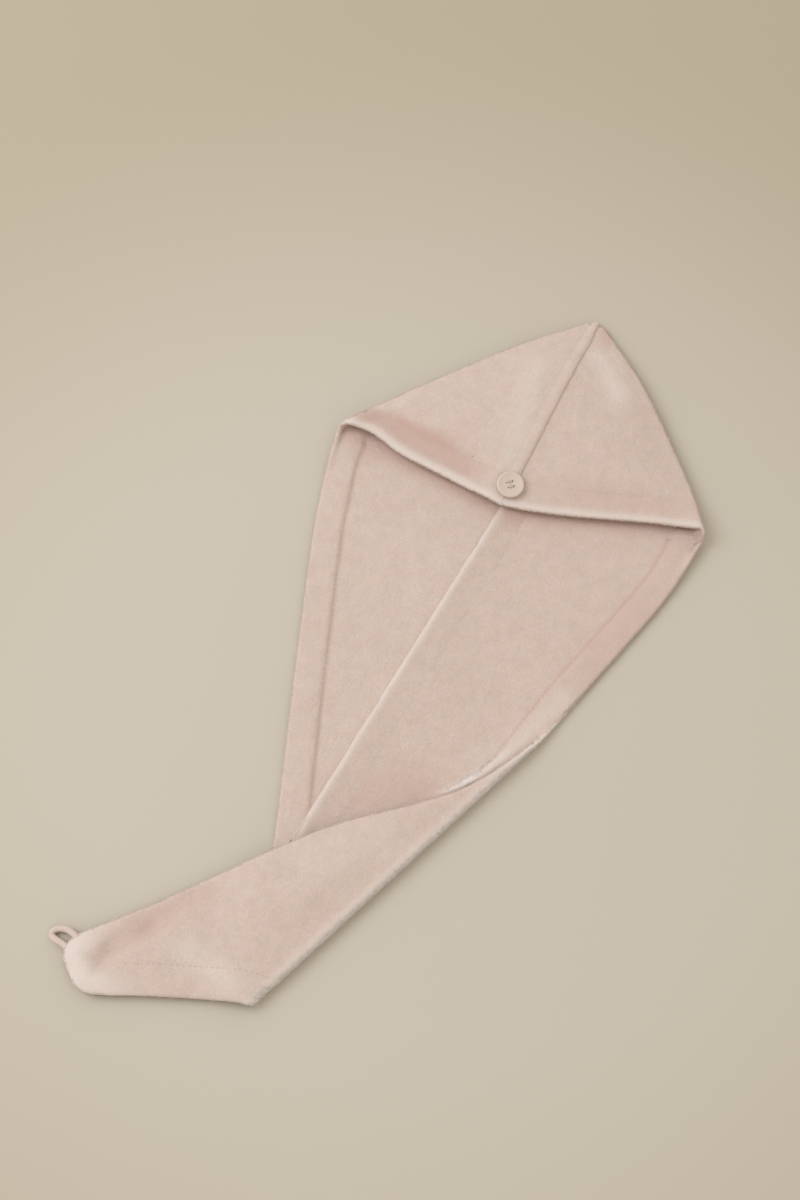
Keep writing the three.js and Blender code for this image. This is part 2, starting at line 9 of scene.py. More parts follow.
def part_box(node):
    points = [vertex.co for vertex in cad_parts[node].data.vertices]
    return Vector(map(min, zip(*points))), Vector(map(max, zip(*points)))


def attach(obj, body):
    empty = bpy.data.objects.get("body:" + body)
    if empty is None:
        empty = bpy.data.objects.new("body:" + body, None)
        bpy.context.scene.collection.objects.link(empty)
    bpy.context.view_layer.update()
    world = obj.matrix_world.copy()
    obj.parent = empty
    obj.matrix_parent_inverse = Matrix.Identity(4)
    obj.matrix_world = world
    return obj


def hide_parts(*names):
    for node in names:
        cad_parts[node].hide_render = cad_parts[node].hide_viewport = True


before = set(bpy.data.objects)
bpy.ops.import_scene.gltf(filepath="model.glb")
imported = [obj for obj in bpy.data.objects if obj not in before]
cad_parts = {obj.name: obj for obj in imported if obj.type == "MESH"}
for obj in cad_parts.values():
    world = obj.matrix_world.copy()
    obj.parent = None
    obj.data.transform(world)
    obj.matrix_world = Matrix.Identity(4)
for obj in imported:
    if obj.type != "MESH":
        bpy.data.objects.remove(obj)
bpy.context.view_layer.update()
mm = 0.001
# where the back seam comes out of the pocket, in mm: the middle of all that is measured below
seamStart = Vector((-2.651, 128.021, 0.0))

# camera
cameraSetup = {
    "place": (0.1801, -0.34892, 1.0817),
    "lookAt": (-0.0317, 0.03338, 0.0),
    "lens": 50.0,
    "sensorHeight": 36.0,
}


def addObject(name, data):
    made = bpy.data.objects.new(name, data)
    bpy.context.scene.collection.objects.link(made)
    return made


def aim(made, place, lookAt):
    made.location = place
    made.rotation_euler = (Vector(lookAt) - Vector(place)).to_track_quat("-Z", "Y").to_euler()


def makeCamera():
    camera = addObject("camera", bpy.data.cameras.new("camera"))
    camera.data.lens = cameraSetup["lens"]
    camera.data.sensor_fit = "VERTICAL"
    camera.data.sensor_height = cameraSetup["sensorHeight"]
    aim(camera, cameraSetup["place"], cameraSetup["lookAt"])
    bpy.context.scene.camera = camera


makeCamera()
print("camera placed")

# the cloth as it lies, in mm: the same sizes as the solids
cloth = {
    "wall": 2.2, "hemPly": 1.6, "hemFade": 2.5, "hemPuff": 0.45,
    "foldRadius": 3.6, "apexRadius": 1.5, "pieceGap": 0.3, "seamGap": -0.4,
    "mouthRoll": 6.0, "mouthRollFrom": 0.8,     # the rims open to this radius at the corners of the mouth
    "mouthDrop": 4.0, "mouthDropWidth": 30.0,   # the mouth's hem hangs down between the corners
    "frontSeam": 171.0, "crownShift": -8.0, "crownShare": 0.02,
    "mouthLeft": 133.0, "mouthRight": 145.0, "mouthRightTurn": math.radians(17.5),
    "pocketRise": 6.5, "domeFrom": 0.35, "domePower": 2.2, "domeSink": 0.25,
    "rimBowLeft": 5.0, "rimBowRight": 11.0,
    "mouthBowLeft": 5.2, "mouthBowShare": 0.87, "mouthBowWidth": 0.15, "mouthSag": 1.3, "mouthBowRight": 8.5,
    # swells over the mouth's hem and hollows at its stitching: height, from the mouth, width
    "leftSwells": [(2.4, 33.0, 10.0), (-1.9, 14.0, 7.0)],
    "rightSwells": [(1.0, 33.0, 10.0), (-0.7, 14.0, 7.0)],
    "tailReach": 484.0, "leftReach": 0.63 * 484.0, "seamDrift": 13.3, "rightLevel": 112.0,
    "foldAcross": 101.5, "foldDown": 135.2, "foldLean": math.radians(18.1),
    "tailDrop": 40.0, "dropLead": 4.0, "tailCrown": 1.6, "proudWidth": 25.0,
    "foldClear": 4.0, "foldEase": 30.0,
    "tailHemStart": 0.66 * 484.0, "cornerCurl": 42.0,
    "waveHeight": 0.7, "waveLength": 55.0,      # the cloth doesn't lie dead flat
    # the lower hem stands up beside the start of the tail's fold
    "hemSwell": 6.2, "hemSwellAt": 9.0, "hemSwellWidth": 10.5, "foldLength": 95.0,
    "swellFallOff": 3.5, "tailPuff": 0.5, "tipPuff": 1.9,
    "pileHeight": 0.22, "pileLength": 2.6,      # tufts of the terry, as far as the mesh shows them
    "stitchFrom": 20.6, "stitchDepth": 0.55, "stitchWidth": 1.7, "pocketGroove": 0.25, "outsideGroove": 0.15,
    "puckerHeight": 0.352, "puckerLength": 7.0, "puckerWidth": 9.0,
}
rimInset = cloth["foldRadius"] + cloth["wall"] / 2
foldTurn = math.pi * cloth["foldRadius"]
foldNormal = (math.cos(cloth["foldLean"]), -math.sin(cloth["foldLean"]))
foldStart = foldNormal[0] * cloth["foldAcross"] - foldNormal[1] * cloth["foldDown"]

# edges of the cloth opened out flat: down as a share of tailReach, left and right of the mouth's halves
edgeRows = np.array([
    (-0.09, -1.0, 0.952), (0.0, -1.0, 0.928), (0.12, -0.872, 0.847), (0.207, -0.748, 0.783),
    (0.289, -0.619, 0.737), (0.409, -0.429, 0.681), (0.481, -0.312, 0.699), (0.599, -0.125, 0.766),
    (0.692, 0.008, 0.779), (0.775, 0.13, 0.786), (0.81, 0.233, 0.786), (0.855, 0.332, 0.786),
    (0.928, 0.473, 0.793), (0.971, 0.55, 0.797), (0.992, 0.602, 0.772), (1.0, 0.662, 0.722),
])

# soft ridges and hollows: layer, from (across, up) to (across, up), width in mm, height
softFolds = [
    ("pocket", -0.19, 0.6, -0.06, 0.0, 13.0, 0.28),
    ("pocket", 0.09, 0.86, 0.2, 0.6, 12.0, -0.2),
    ("pocket", 0.3, 0.55, 0.62, 0.35, 26.0, 0.22),
    ("lower", 0.66, -0.2, 0.52, -0.4, 13.0, 0.16),
    ("lower", 0.12, -0.18, 0.05, -0.42, 16.0, 0.16),
    ("tail", 0.2, -0.58, -0.3, -0.8, 22.0, 0.24),
    ("tail", -0.303, -0.707, -0.414, -0.775, 7.0, -0.2),
    ("tail", -0.414, -0.775, -0.514, -0.818, 8.0, -0.26),
    ("tail", -0.514, -0.818, -0.5, -0.85, 7.0, -0.2),
]


def smooth(low, high, value):
    t = np.clip((value - low) / (high - low), 0.0, 1.0)
    return t * t * (3 - 2 * t)


def mix(a, b, t):
    return a + (b - a) * t


def bump(value, middle, width):
    return np.exp(-((value - middle) / width) ** 2)


def fromStroke(u, v, ax, ay, bx, by):
    # how far points lie from the straight line a to b, and how far along it
    t = np.clip(((u - ax) * (bx - ax) + (v - ay) * (by - ay)) / ((bx - ax) ** 2 + (by - ay) ** 2), 0, 1)
    return np.hypot(u - ax - t * (bx - ax), v - ay - t * (by - ay)), t


def edgeAt(column, v):
    down, values = edgeRows[:, 0], edgeRows[:, column]
    station = -np.asarray(v, float) / cloth["tailReach"]
    last = len(down) - 1
    before, after = np.maximum(np.arange(last + 1) - 1, 0), np.minimum(np.arange(last + 1) + 1, last)
    slope = (values[after] - values[before]) / (down[after] - down[before])
    i = np.clip(np.searchsorted(down, station) - 1, 0, last - 1)
    span = down[i + 1] - down[i]
    t = np.clip((station - down[i]) / span, 0, 1)
    bend = slope[i] * span * t * (1 - t) ** 2 - slope[i + 1] * span * t * t * (1 - t)
    return values[i] + (values[i + 1] - values[i]) * t * t * (3 - 2 * t) + bend


def leftEdge(v):
    return edgeAt(1, v) * cloth["mouthLeft"]


def rightEdge(v):
    return edgeAt(2, v) * cloth["mouthRight"]


def seamAcross(v):
    up = cloth["crownShift"] * v / cloth["frontSeam"]
    down = cloth["seamDrift"] * v / cloth["tailReach"]
    return np.where(v > 0, up, down)


def liftAt(layer, u, v):
    lift = 0.0
    for name, ax, ay, bx, by, wide, high in softFolds:
        if name != layer:
            continue
        reach = cloth["frontSeam"] if ay > 0 else cloth["tailReach"]
        ax, bx = ax * cloth["mouthRight"], bx * cloth["mouthRight"]
        ay, by = ay * reach, by * (cloth["frontSeam"] if by > 0 else cloth["tailReach"])
        lift = lift + high * cloth["pocketRise"] * bump(fromStroke(u, v, ax, ay, bx, by)[0], 0, wide)
    return lift


def pastLeftHem(u, v):
    topV, lowV = -0.6 * cloth["tailReach"], -0.775 * cloth["tailReach"]
    topU, lowU = leftEdge(topV), leftEdge(lowV)
    return ((u - topU) * (lowV - topV) - (v - topV) * (lowU - topU)) / np.hypot(lowU - topU, lowV - topV)


def besideTail(u, v):
    # how near a lower point lies to the tail's upper edge, at the start of the fold
    edgeV = np.linspace(-cloth["foldDown"] - 2, -cloth["foldDown"] - cloth["foldLength"], 40)
    edge = laid(rightEdge(edgeV), edgeV)[:, :2]
    nearest = np.full(np.shape(u), 1e9)
    share, above = np.zeros(np.shape(u)), np.ones(np.shape(u), bool)
    for k in range(len(edge) - 1):
        (ax, ay), (bx, by) = edge[k], edge[k + 1]
        off, t = fromStroke(u, v, ax, ay, bx, by)
        near = off < nearest
        share = np.where(near, (k + t) / (len(edge) - 1), share)
        above = np.where(near, (u - ax) * (by - ay) - (v - ay) * (bx - ax) < 0, above)
        nearest = np.minimum(nearest, off)
    nearest = np.where(above, nearest, nearest * cloth["swellFallOff"])    # faster under the tail
    return nearest, smooth(0, 0.16, share) * (1 - smooth(0.62, 1, share))


def foldDistance(u, v):
    return foldNormal[0] * u + foldNormal[1] * v - foldStart


def laid(u, v):
    # where a point of the flat cloth lies, with the tail folded over
    past = foldDistance(u, v)
    turn = np.clip(past / cloth["foldRadius"], 0, math.pi)
    back = np.where(past > 0, cloth["foldRadius"] * np.sin(turn) - np.maximum(past - foldTurn, 0) - past, 0)
    x = u + foldNormal[0] * back
    y = v + foldNormal[1] * back
    lower = liftAt("lower", u, v) * smooth(cloth["foldClear"], cloth["foldEase"], -past)
    rise = cloth["foldRadius"] * (1 - np.cos(turn))
    beyond = smooth(0, cloth["tailDrop"], pastLeftHem(x, y) + cloth["dropLead"])
    proud = (cloth["tailCrown"] + liftAt("tail", x, y)) * smooth(0, cloth["proudWidth"], past - foldTurn)
    over = mix(rise, cloth["hemPly"] + cloth["pieceGap"], beyond) + proud
    return np.stack([x, y, cloth["wall"] / 2 + np.where(past > 0, over, lower)], axis=-1)


def inwardOf(walk):
    # 1 at the rim, 0 at the seams
    return np.where(walk < 1, walk, np.minimum(1, 3 - walk))


def pocketPoint(side, share, walk):
    # walk goes from the back seam to the rim (0 to 1), round it (to 2) and back to the front seam (3)
    right = side > 0
    turn = cloth["mouthRightTurn"] if right else 0.0
    mouth = cloth["mouthRight"] if right else cloth["mouthLeft"]
    bow = (cloth["rimBowRight"] if right else cloth["rimBowLeft"]) * 4 * share * (1 - share)
    flare = (cloth["mouthRoll"] - cloth["foldRadius"]) * smooth(cloth["mouthRollFrom"], 1, share)
    width = share * (mouth - rimInset) + bow - flare
    radius = mix(cloth["apexRadius"], cloth["foldRadius"], smooth(0, 0.3, share)) + flare
    bend = np.clip(walk - 1, 0, 1) * math.pi
    inward = inwardOf(walk)
    gap = np.where(walk > 1.5, cloth["seamGap"], cloth["pieceGap"])
    reach = gap / 2 + inward * width + radius * np.sin(bend)
    if right:
        dip = cloth["mouthBowRight"] * smooth(0.1, 0.9, inward)
    else:
        dip = cloth["mouthBowLeft"] * bump(inward, cloth["mouthBowShare"], cloth["mouthBowWidth"])
        dip = dip + cloth["mouthSag"] * np.sin(math.pi * inward)
    v = cloth["frontSeam"] * (1 - share)
    u = seamAcross(v) + side * reach * math.cos(turn)
    y = v + reach * math.sin(turn) + dip * smooth(0.5, 1, share) * smooth(1.3, 2, walk)
    opened = smooth(0, cloth["domeFrom"], share) * (1 - cloth["domeSink"] * smooth(0.6, 1, share))
    upper = cloth["pocketRise"] * opened * (1 - inward ** cloth["domePower"])
    upper = upper + liftAt("pocket", u, y) * smooth(0, 0.3, share) * smooth(0, 0.25, 1 - inward)
    swells = cloth["rightSwells" if right else "leftSwells"]
    swell = sum(high * bump(v, middle, wide) for high, middle, wide in swells)
    upper = upper + swell * smooth(0.05, 0.3, inward) * smooth(0, 0.1, 1 - inward)
    upper = upper - 2 * flare * (1 - inward ** 3)
    upper = upper - cloth["mouthDrop"] * (bump(v, 0, cloth["mouthDropWidth"]) * (1 - inward ** 6))
    z = cloth["wall"] / 2 + radius * (1 - np.cos(bend)) + np.where(walk > 2, upper, 0)
    return np.stack([u, y, z], axis=-1)


# painted shade under the mouth's hem: how much on each side, and how wide in mm
mouthShade = {"left": 0.65, "right": 0.6, "width": 7.0}


def shadeUnderMouth(side, u, y):
    # painted shade: pinker where the mouth's hem hangs over the lower layer, most so inside the pocket
    mouthLine = pocketPoint(side, np.ones(60), np.linspace(2, 3, 60))
    order = np.argsort(mouthLine[:, 0])
    under = np.interp(u, mouthLine[order, 0], mouthLine[order, 1]) - y
    most = mouthShade["left"] if side < 0 else mouthShade["right"] * (1 - 0.5 * smooth(60, 115, u))
    return mix(most * bump(np.maximum(under, 0), 0, mouthShade["width"]), 1.0, smooth(0, 6, -under))


def slopeOf(edge, v):
    return (edge(v + 4) - edge(v - 4)) / 8


def hemDistance(side, u, v):
    leftGap = (u - leftEdge(v)) / np.hypot(1, slopeOf(leftEdge, v))
    rightGap = (rightEdge(v) - u) / np.hypot(1, slopeOf(rightEdge, v))
    if side < 0:
        return leftGap
    atTail = np.minimum(np.minimum(leftGap, rightGap), v + cloth["tailReach"])
    return np.where(v < -cloth["tailHemStart"], atTail, rightGap)


# finishes
def newMaterial(name):
    material = bpy.data.materials.new(name)
    material.use_nodes = True
    return material, material.node_tree, material.node_tree.nodes["Principled BSDF"]


def fillInputs(tree, node, inputs):
    for key, value in inputs.items():
        if isinstance(value, bpy.types.NodeSocket):
            tree.links.new(value, node.inputs[key])
        else:
            node.inputs[key].default_value = value


def addNode(tree, kind, inputs=None, **settings):
    made = tree.nodes.new(kind)
    for key, value in settings.items():
        setattr(made, key, value)
    fillInputs(tree, made, inputs or {})
    return made


def twoTone(tree, amount, deep, light):
    # from the deep colour to the light one; sockets 6, 7 and 2 are the mix node's colours
    mixed = addNode(tree, "ShaderNodeMix", {"Factor": amount, 6: deep, 7: light}, data_type="RGBA")
    return mixed.outputs[2]


def terryCloth(name, light, deep, turn):
    # short loops in uneven rows; the painted shading attribute makes it pinker over 0, painted shade, and
    # paler under 0, painted highlight
    material, tree, shader = newMaterial(name)
    where = addNode(tree, "ShaderNodeTexCoord").outputs["Object"]
    turned = addNode(tree, "ShaderNodeMapping", {"Vector": where, "Rotation": (0, 0, turn)}).outputs["Vector"]
    rows = addNode(tree, "ShaderNodeMapping", {"Vector": turned, "Scale": (1.0, 1.35, 1.0)}).outputs["Vector"]
    loops = addNode(tree, "ShaderNodeTexVoronoi", {"Vector": rows, "Scale": 520.0, "Randomness": 0.85})
    tufts, brushed = (
        addNode(tree, "ShaderNodeTexNoise",
                {"Vector": turned, "Scale": scale, "Detail": 3.0, "Roughness": 0.6})
        for scale in (300.0, 110.0))
    worn = addNode(tree, "ShaderNodeTexNoise", {"Vector": turned, "Scale": 16.0, "Detail": 2.0})
    loopTop = addNode(tree, "ShaderNodeMapRange", {"Value": loops.outputs["Distance"], "From Max": 0.75,
                                                   "To Min": 1.0, "To Max": 0.0}).outputs["Result"]
    height = addNode(tree, "ShaderNodeMath", {0: loopTop, 1: tufts.outputs["Fac"]}, operation="MULTIPLY")
    shade = addNode(tree, "ShaderNodeMath", {0: height.outputs[0], 1: brushed.outputs["Fac"]},
                    operation="ADD")
    patches = addNode(tree, "ShaderNodeMath", {0: worn.outputs["Fac"], 1: 0.35}, operation="MULTIPLY")
    shade = addNode(tree, "ShaderNodeMath", {0: shade.outputs[0], 1: patches.outputs[0]}, operation="ADD")
    # the deep colour between the loops is painted shade in the pile's gaps; the noise patches vary the colour
    # at random
    amount = addNode(tree, "ShaderNodeMapRange",
                     {"Value": shade.outputs[0], "From Min": 0.45, "From Max": 1.35})
    colour = twoTone(tree, amount.outputs["Result"], deep, light)
    paintedShading = addNode(tree, "ShaderNodeAttribute", attribute_name="paintedShading").outputs["Fac"]
    # over 0 towards the painted shade tint, under 0 towards the pale painted highlight tint
    for end, tint in ((1.0, paintedShadingTints["paintedShadeTint"]), (-1.0, paintedShadingTints["pale"])):
        amount = addNode(tree, "ShaderNodeMapRange", {"Value": paintedShading, "From Max": end})
        colour = twoTone(tree, amount.outputs["Result"], colour, tint)
    soft = addNode(tree, "ShaderNodeBump",
                   {"Height": brushed.outputs["Fac"], "Strength": 0.25, "Distance": 0.0015})
    fine = addNode(tree, "ShaderNodeBump", {"Height": height.outputs[0], "Strength": 0.4, "Distance": 0.0007,
                                            "Normal": soft.outputs["Normal"]})
    fillInputs(tree, shader, {
        "Base Color": colour, "Normal": fine.outputs["Normal"], "Roughness": 0.95,
        "Specular IOR Level": 0.15,
        "Sheen Weight": 0.35, "Sheen Roughness": 0.5, "Sheen Tint": (1.0, 0.93, 0.9, 1),
        "Subsurface Weight": 0.2, "Subsurface Radius": (1.0, 0.5, 0.4), "Subsurface Scale": 0.003,
    })
    return material


# tints for painted shade, pinker, and painted highlight, paler
paintedShadingTints = {"paintedShadeTint": (0.56, 0.385, 0.325, 1), "pale": (0.77, 0.69, 0.645, 1)}
terryLeft = terryCloth("terryLeft", (0.695, 0.568, 0.502, 1), (0.595, 0.475, 0.413, 1), 0.4)
terryRight = terryCloth("terryRight", (0.69, 0.56, 0.495, 1), (0.588, 0.466, 0.403, 1), 0.55)
seamCloth = terryCloth("seamCloth", (0.69, 0.56, 0.495, 1), (0.588, 0.466, 0.403, 1), 0.55)


def spunThread(name, light, deep, scale, turns):
    material, tree, shader = newMaterial(name)
    where = addNode(tree, "ShaderNodeTexCoord").outputs["Object"]
    fibres = addNode(tree, "ShaderNodeTexNoise", {"Vector": where, "Scale": scale, "Detail": 4.0})
    twist = addNode(tree, "ShaderNodeTexWave", {"Vector": where, "Scale": turns, "Distortion": 1.5},
                    bands_direction="DIAGONAL")
    relief = addNode(tree, "ShaderNodeBump",
                     {"Height": twist.outputs["Fac"], "Strength": 0.5, "Distance": 0.0002})
    colour = twoTone(tree, fibres.outputs["Fac"], deep, light)
    fillInputs(tree, shader, {"Base Color": colour, "Normal": relief.outputs["Normal"],
                              "Roughness": 0.75, "Sheen Weight": 0.2})
    return material


def mouldedButton(name, light, deep):
    # milky plastic, faintly clouded
    material, tree, shader = newMaterial(name)
    where = addNode(tree, "ShaderNodeTexCoord").outputs["Object"]
    cloud = addNode(tree, "ShaderNodeTexNoise",
                    {"Vector": where, "Scale": 160.0, "Detail": 3.0, "Distortion": 1.2})
    scuffs = addNode(tree, "ShaderNodeTexNoise", {"Vector": where, "Scale": 1400.0, "Detail": 2.0})
    rough = addNode(tree, "ShaderNodeMapRange",
                    {"Value": scuffs.outputs["Fac"], "To Min": 0.36, "To Max": 0.52})
    relief = addNode(tree, "ShaderNodeBump",
                     {"Height": scuffs.outputs["Fac"], "Strength": 0.08, "Distance": 0.0002})
    colour = twoTone(tree, cloud.outputs["Fac"], deep, light)
    fillInputs(tree, shader, {
        "Base Color": colour, "Normal": relief.outputs["Normal"], "Roughness": rough.outputs["Result"],
        "Subsurface Weight": 0.35, "Subsurface Radius": (1.0, 0.7, 0.5), "Subsurface Scale": 0.002,
    })
    return material


threadFinish = spunThread("cottonThread", (0.72, 0.59, 0.52, 1), (0.60, 0.47, 0.41, 1),
                          scale=1600.0, turns=900.0)
elasticFinish = spunThread("braidedElastic", (0.74, 0.62, 0.56, 1), (0.60, 0.46, 0.41, 1),
                           scale=1200.0, turns=520.0)
buttonFinish = mouldedButton("milkyButton", (0.695, 0.575, 0.50, 1), (0.655, 0.535, 0.46, 1))


# the two halves of the cloth
panelGrid = {
    "step": 1.75,                                        # mm between rows and columns in the open cloth
    "fromEdge": [0, 0.3, 0.8, 1.5, 2.4, 3.5, rimInset, 6.4, 8.4, 10.4, 12.4, 14.4, 16.4, 18.0,
                 19.1, 19.9, 20.6, 21.3, 22.1, 23.2, 24.6, 26.2],
    "fromSeam": [0, 0.3, 0.8, 1.5, 2.8],
    "tailEnd": [2.4, 1.5, 0.8, 0.3],                     # close rows round the tail's end
    "narrowUnder": 70.0,                                 # rows narrower than this have their hems squeezed
}


def columnsOf(width, leftHem):
    # distances of the columns from the hem edge, for rows of these widths
    narrow = np.minimum(1, width / panelGrid["narrowUnder"])[:, None]
    width = width[:, None]
    start = np.array(panelGrid["fromEdge"]) * narrow
    end = np.array((panelGrid["fromEdge"][::2] if leftHem else panelGrid["fromSeam"])[::-1])
    end = width - end * narrow
    count = int((cloth["mouthRight"] - start.max() - 3) / panelGrid["step"])
    middle = mix(start[:, -1:], end[:, :1], np.arange(1, count)[None, :] / count)
    return np.concatenate([start, middle, end], axis=1)


def pocketRows():
    high = cloth["frontSeam"] * (1 - cloth["crownShare"])
    down = panelGrid["fromEdge"]
    count = int((high - down[-1]) / panelGrid["step"])
    down = np.concatenate([down, mix(down[-1], high, np.arange(1, count + 1) / count)])
    return (1 - down / cloth["frontSeam"])[::-1]


# how much painted shade (over 0) and painted highlight (under 0) change the colour, by place; the band is the
# pocket's hem, its end and widening in mm
paintedShadingShare = {
    "bandShadeLeft": 0.62, "bandShadeRight": 0.22 * 0.62, "bandEnd": 20.0, "bandWiden": 6.0,
    "mouthRoll": -0.6, "pocketCrease": 0.25, "crease": 0.3, "rightCrease": 1.3, "rightHem": 0.12,
    "foldGapShade": 1.2, "swellHighlight": -0.9, "tipHighlight": -0.65, "foldSideHighlight": -0.95,
}


def pocketPlaces(side):
    mouth = cloth["mouthRight"] if side > 0 else cloth["mouthLeft"]
    shares = pocketRows()
    low = columnsOf(np.array([mouth]), False)[0]
    rimCount = panelGrid["fromEdge"].index(rimInset)
    inRim = 1.5 - 0.5 * low[:rimCount + 1] / rimInset
    inLow = (mouth - low[rimCount + 1:]) / (mouth - rimInset)
    lowWalks = np.concatenate([inRim, inLow])
    upper = np.array(panelGrid["fromSeam"]) / mouth
    count = int(mouth / panelGrid["step"])
    upper = np.concatenate([upper, mix(upper[-1], 1, np.arange(1, count + 1) / count)])
    walks = np.concatenate([3 - upper, 2 - 0.5 * np.arange(1, rimCount) / rimCount, lowWalks])
    share, walk = np.meshgrid(shares, walks, indexing="ij")
    places = pocketPoint(side, share, walk)
    u, y = places[:, :, 0], places[:, :, 1]
    fromMouth = cloth["frontSeam"] * (1 - share)
    inward = inwardOf(walk)
    fromSeam = inward * share * mouth
    fromCrown = cloth["frontSeam"] * (share - cloth["crownShare"])
    inPocket = mix(hemDistance(side, u, y), 99, smooth(10, 26, fromMouth))
    hem = np.where(walk > 1.5, fromMouth, np.maximum(inPocket, 0))
    corner = np.hypot(fromMouth, (1.5 - walk) / 1.5 * share * mouth)
    border = np.where(walk > 1.5, fromMouth, corner)
    border = np.minimum(border, np.minimum(8 * fromSeam, 3 * fromCrown))
    # painted shade on the pocket's hem band, painted highlight on the mouth's roll, painted shade at the
    # stitching
    band = paintedShadingShare["bandShadeLeft" if side < 0 else "bandShadeRight"]
    band = band * smooth(4, 10, fromMouth) * smooth(0.05, 0.35, inward)
    bandEnd = paintedShadingShare["bandEnd"] + (paintedShadingShare["bandWiden"] * bump(inward, 0.6, 0.25) if side < 0 else 0)
    band = band * (1 - smooth(-5, 5, fromMouth - bandEnd))
    roll = paintedShadingShare["mouthRoll"] * (1 - smooth(2, 8, fromMouth))
    paintedShading = band + roll + paintedShadingShare["pocketCrease"] * paintedCreaseShade(hem)
    paintedShadingOut = (paintedShading + paintedShadingAt("pocket", u, y)) * smooth(1.2, 1.7, walk)
    # painted shade on the lower layer inside the pocket and under its mouth
    paintedShadingIn = np.where(walk > 1.6, 1.0, shadeUnderMouth(side, u, y))
    return places, hem, border, (paintedShadingIn, paintedShadingOut), len(lowWalks)


def lowerPlaces(side, mouthPlaces):
    reach = cloth["tailReach"] if side > 0 else cloth["leftReach"]
    count = int(reach / panelGrid["step"])
    v = -reach * np.arange(0, count + 1) / count
    if side > 0:
        v = np.concatenate([v[:-1][v[:-1] > -reach + 3], -reach + np.array(panelGrid["tailEnd"]), [-reach]])
    seam = seamAcross(v) + side * cloth["pieceGap"] / 2
    if side < 0:
        u1, u2, v2 = seam, np.minimum(leftEdge(v), seam - 4), v
    else:
        u1 = np.maximum(seam, leftEdge(v) + cloth["pieceGap"])
        rise = cloth["mouthRight"] * math.sin(cloth["mouthRightTurn"])
        rise = rise * (1 - smooth(0, cloth["rightLevel"], -v))
        u2, v2 = rightEdge(v + rise), v + rise
    width = np.hypot(u2 - u1, v2 - v)
    plain, hemmed = columnsOf(width, False), columnsOf(width, True)
    if side > 0:                                         # further down the row runs from hem to hem
        late = smooth(cloth["tailHemStart"], cloth["tailHemStart"] + 40, -v)[:, None]
        columns = plain.shape[1]
        spread = np.linspace(0, hemmed.shape[1] - 1, columns)
        hemmed = np.stack([np.interp(spread, np.arange(hemmed.shape[1]), row) for row in hemmed])
        plain = mix(plain, hemmed, late)
    share = 1 - plain / width[:, None]
    u = mix(u1[:, None], u2[:, None], share)
    y = mix(v[:, None], v2[:, None], share)
    places = laid(u, y)
    if side > 0:
        beside, along = besideTail(u, y)
        lower = smooth(0, 9, -foldDistance(u, y))
        swell = bump(beside, cloth["hemSwellAt"], cloth["hemSwellWidth"]) * (0.3 + 0.7 * smooth(0, 3, beside))
        places[:, :, 2] += cloth["hemSwell"] * swell * along * lower
    curl = (1 - smooth(0, cloth["cornerCurl"], -v))[:, None]
    inside = np.minimum(1, plain / (1.6 * rimInset))
    places[:, :, 2] += curl * cloth["mouthRoll"] * (1 - np.sin(inside * math.pi / 2))
    fade = (1 - smooth(0, 24, -v))[:, None, None]
    places += (mouthPlaces - places[0])[None] * fade     # carries straight on from the pocket's lower layer
    fromSeam = width[:, None] - plain
    hem = hemDistance(side, u, y)
    if side > 0:
        fromSeam = np.where((leftEdge(v) > seam)[:, None], 99.0, 3 * fromSeam)
    else:
        fromSeam = np.minimum(3 * fromSeam, (v + reach)[:, None])
    # painted shade under the mouth and at the stitching, plus painted strokes of shade and highlight
    paintedShading = shadeUnderMouth(side, u, y) + paintedCreaseShade(hem) + paintedShadingAt("lower", u, y)
    if side > 0:
        # on the right: painted shade at the stitching, a slightly pinker hem band, a painted dark line in the
        # gap at the tail's edge, and a painted highlight on the hem's swell
        paintedShading = paintedShading + paintedShadingShare["rightCrease"] * paintedCreaseShade(hem)
        paintedShading = paintedShading + paintedShadingShare["rightHem"] * (1 - smooth(18, 22, hem))
        gap = paintedShadingShare["foldGapShade"] * np.exp(-beside / 2)
        onSwell = paintedShadingShare["swellHighlight"] * bump(beside, 9.5, 9)
        paintedShading = paintedShading + (gap + onSwell) * along * lower
    border = np.minimum(np.maximum(hem, 0), fromSeam)
    return places, hem, border, paintedShading, foldDistance(u, y)


def wallOffsets(hem, border, tailPuff, outerGroove):
    # how far the inner and outer face stand from the middle of the wall
    ply = cloth["hemPly"] * (1 - smooth(cloth["stitchFrom"] - 1, cloth["stitchFrom"] + cloth["hemFade"], hem))
    puffed = np.sin(math.pi * np.clip(hem / cloth["stitchFrom"], 0, 1))
    groove = bump(hem, cloth["stitchFrom"], cloth["stitchWidth"])
    inner = cloth["wall"] / 2 + ply + cloth["hemPuff"] * puffed - cloth["stitchDepth"] * groove
    outer = cloth["wall"] / 2 + tailPuff * puffed - cloth["stitchDepth"] * outerGroove * groove
    half, middle = (inner + outer) / 2, (inner - outer) / 2
    edge = np.clip(border / (1.15 * half), 0, 1)
    half = half * np.sqrt(1 - (1 - edge) ** 2)
    return middle + half, half - middle


panelLayers = ["inner", "outer", "hem", "paintedShadingIn", "paintedShadingOut"]

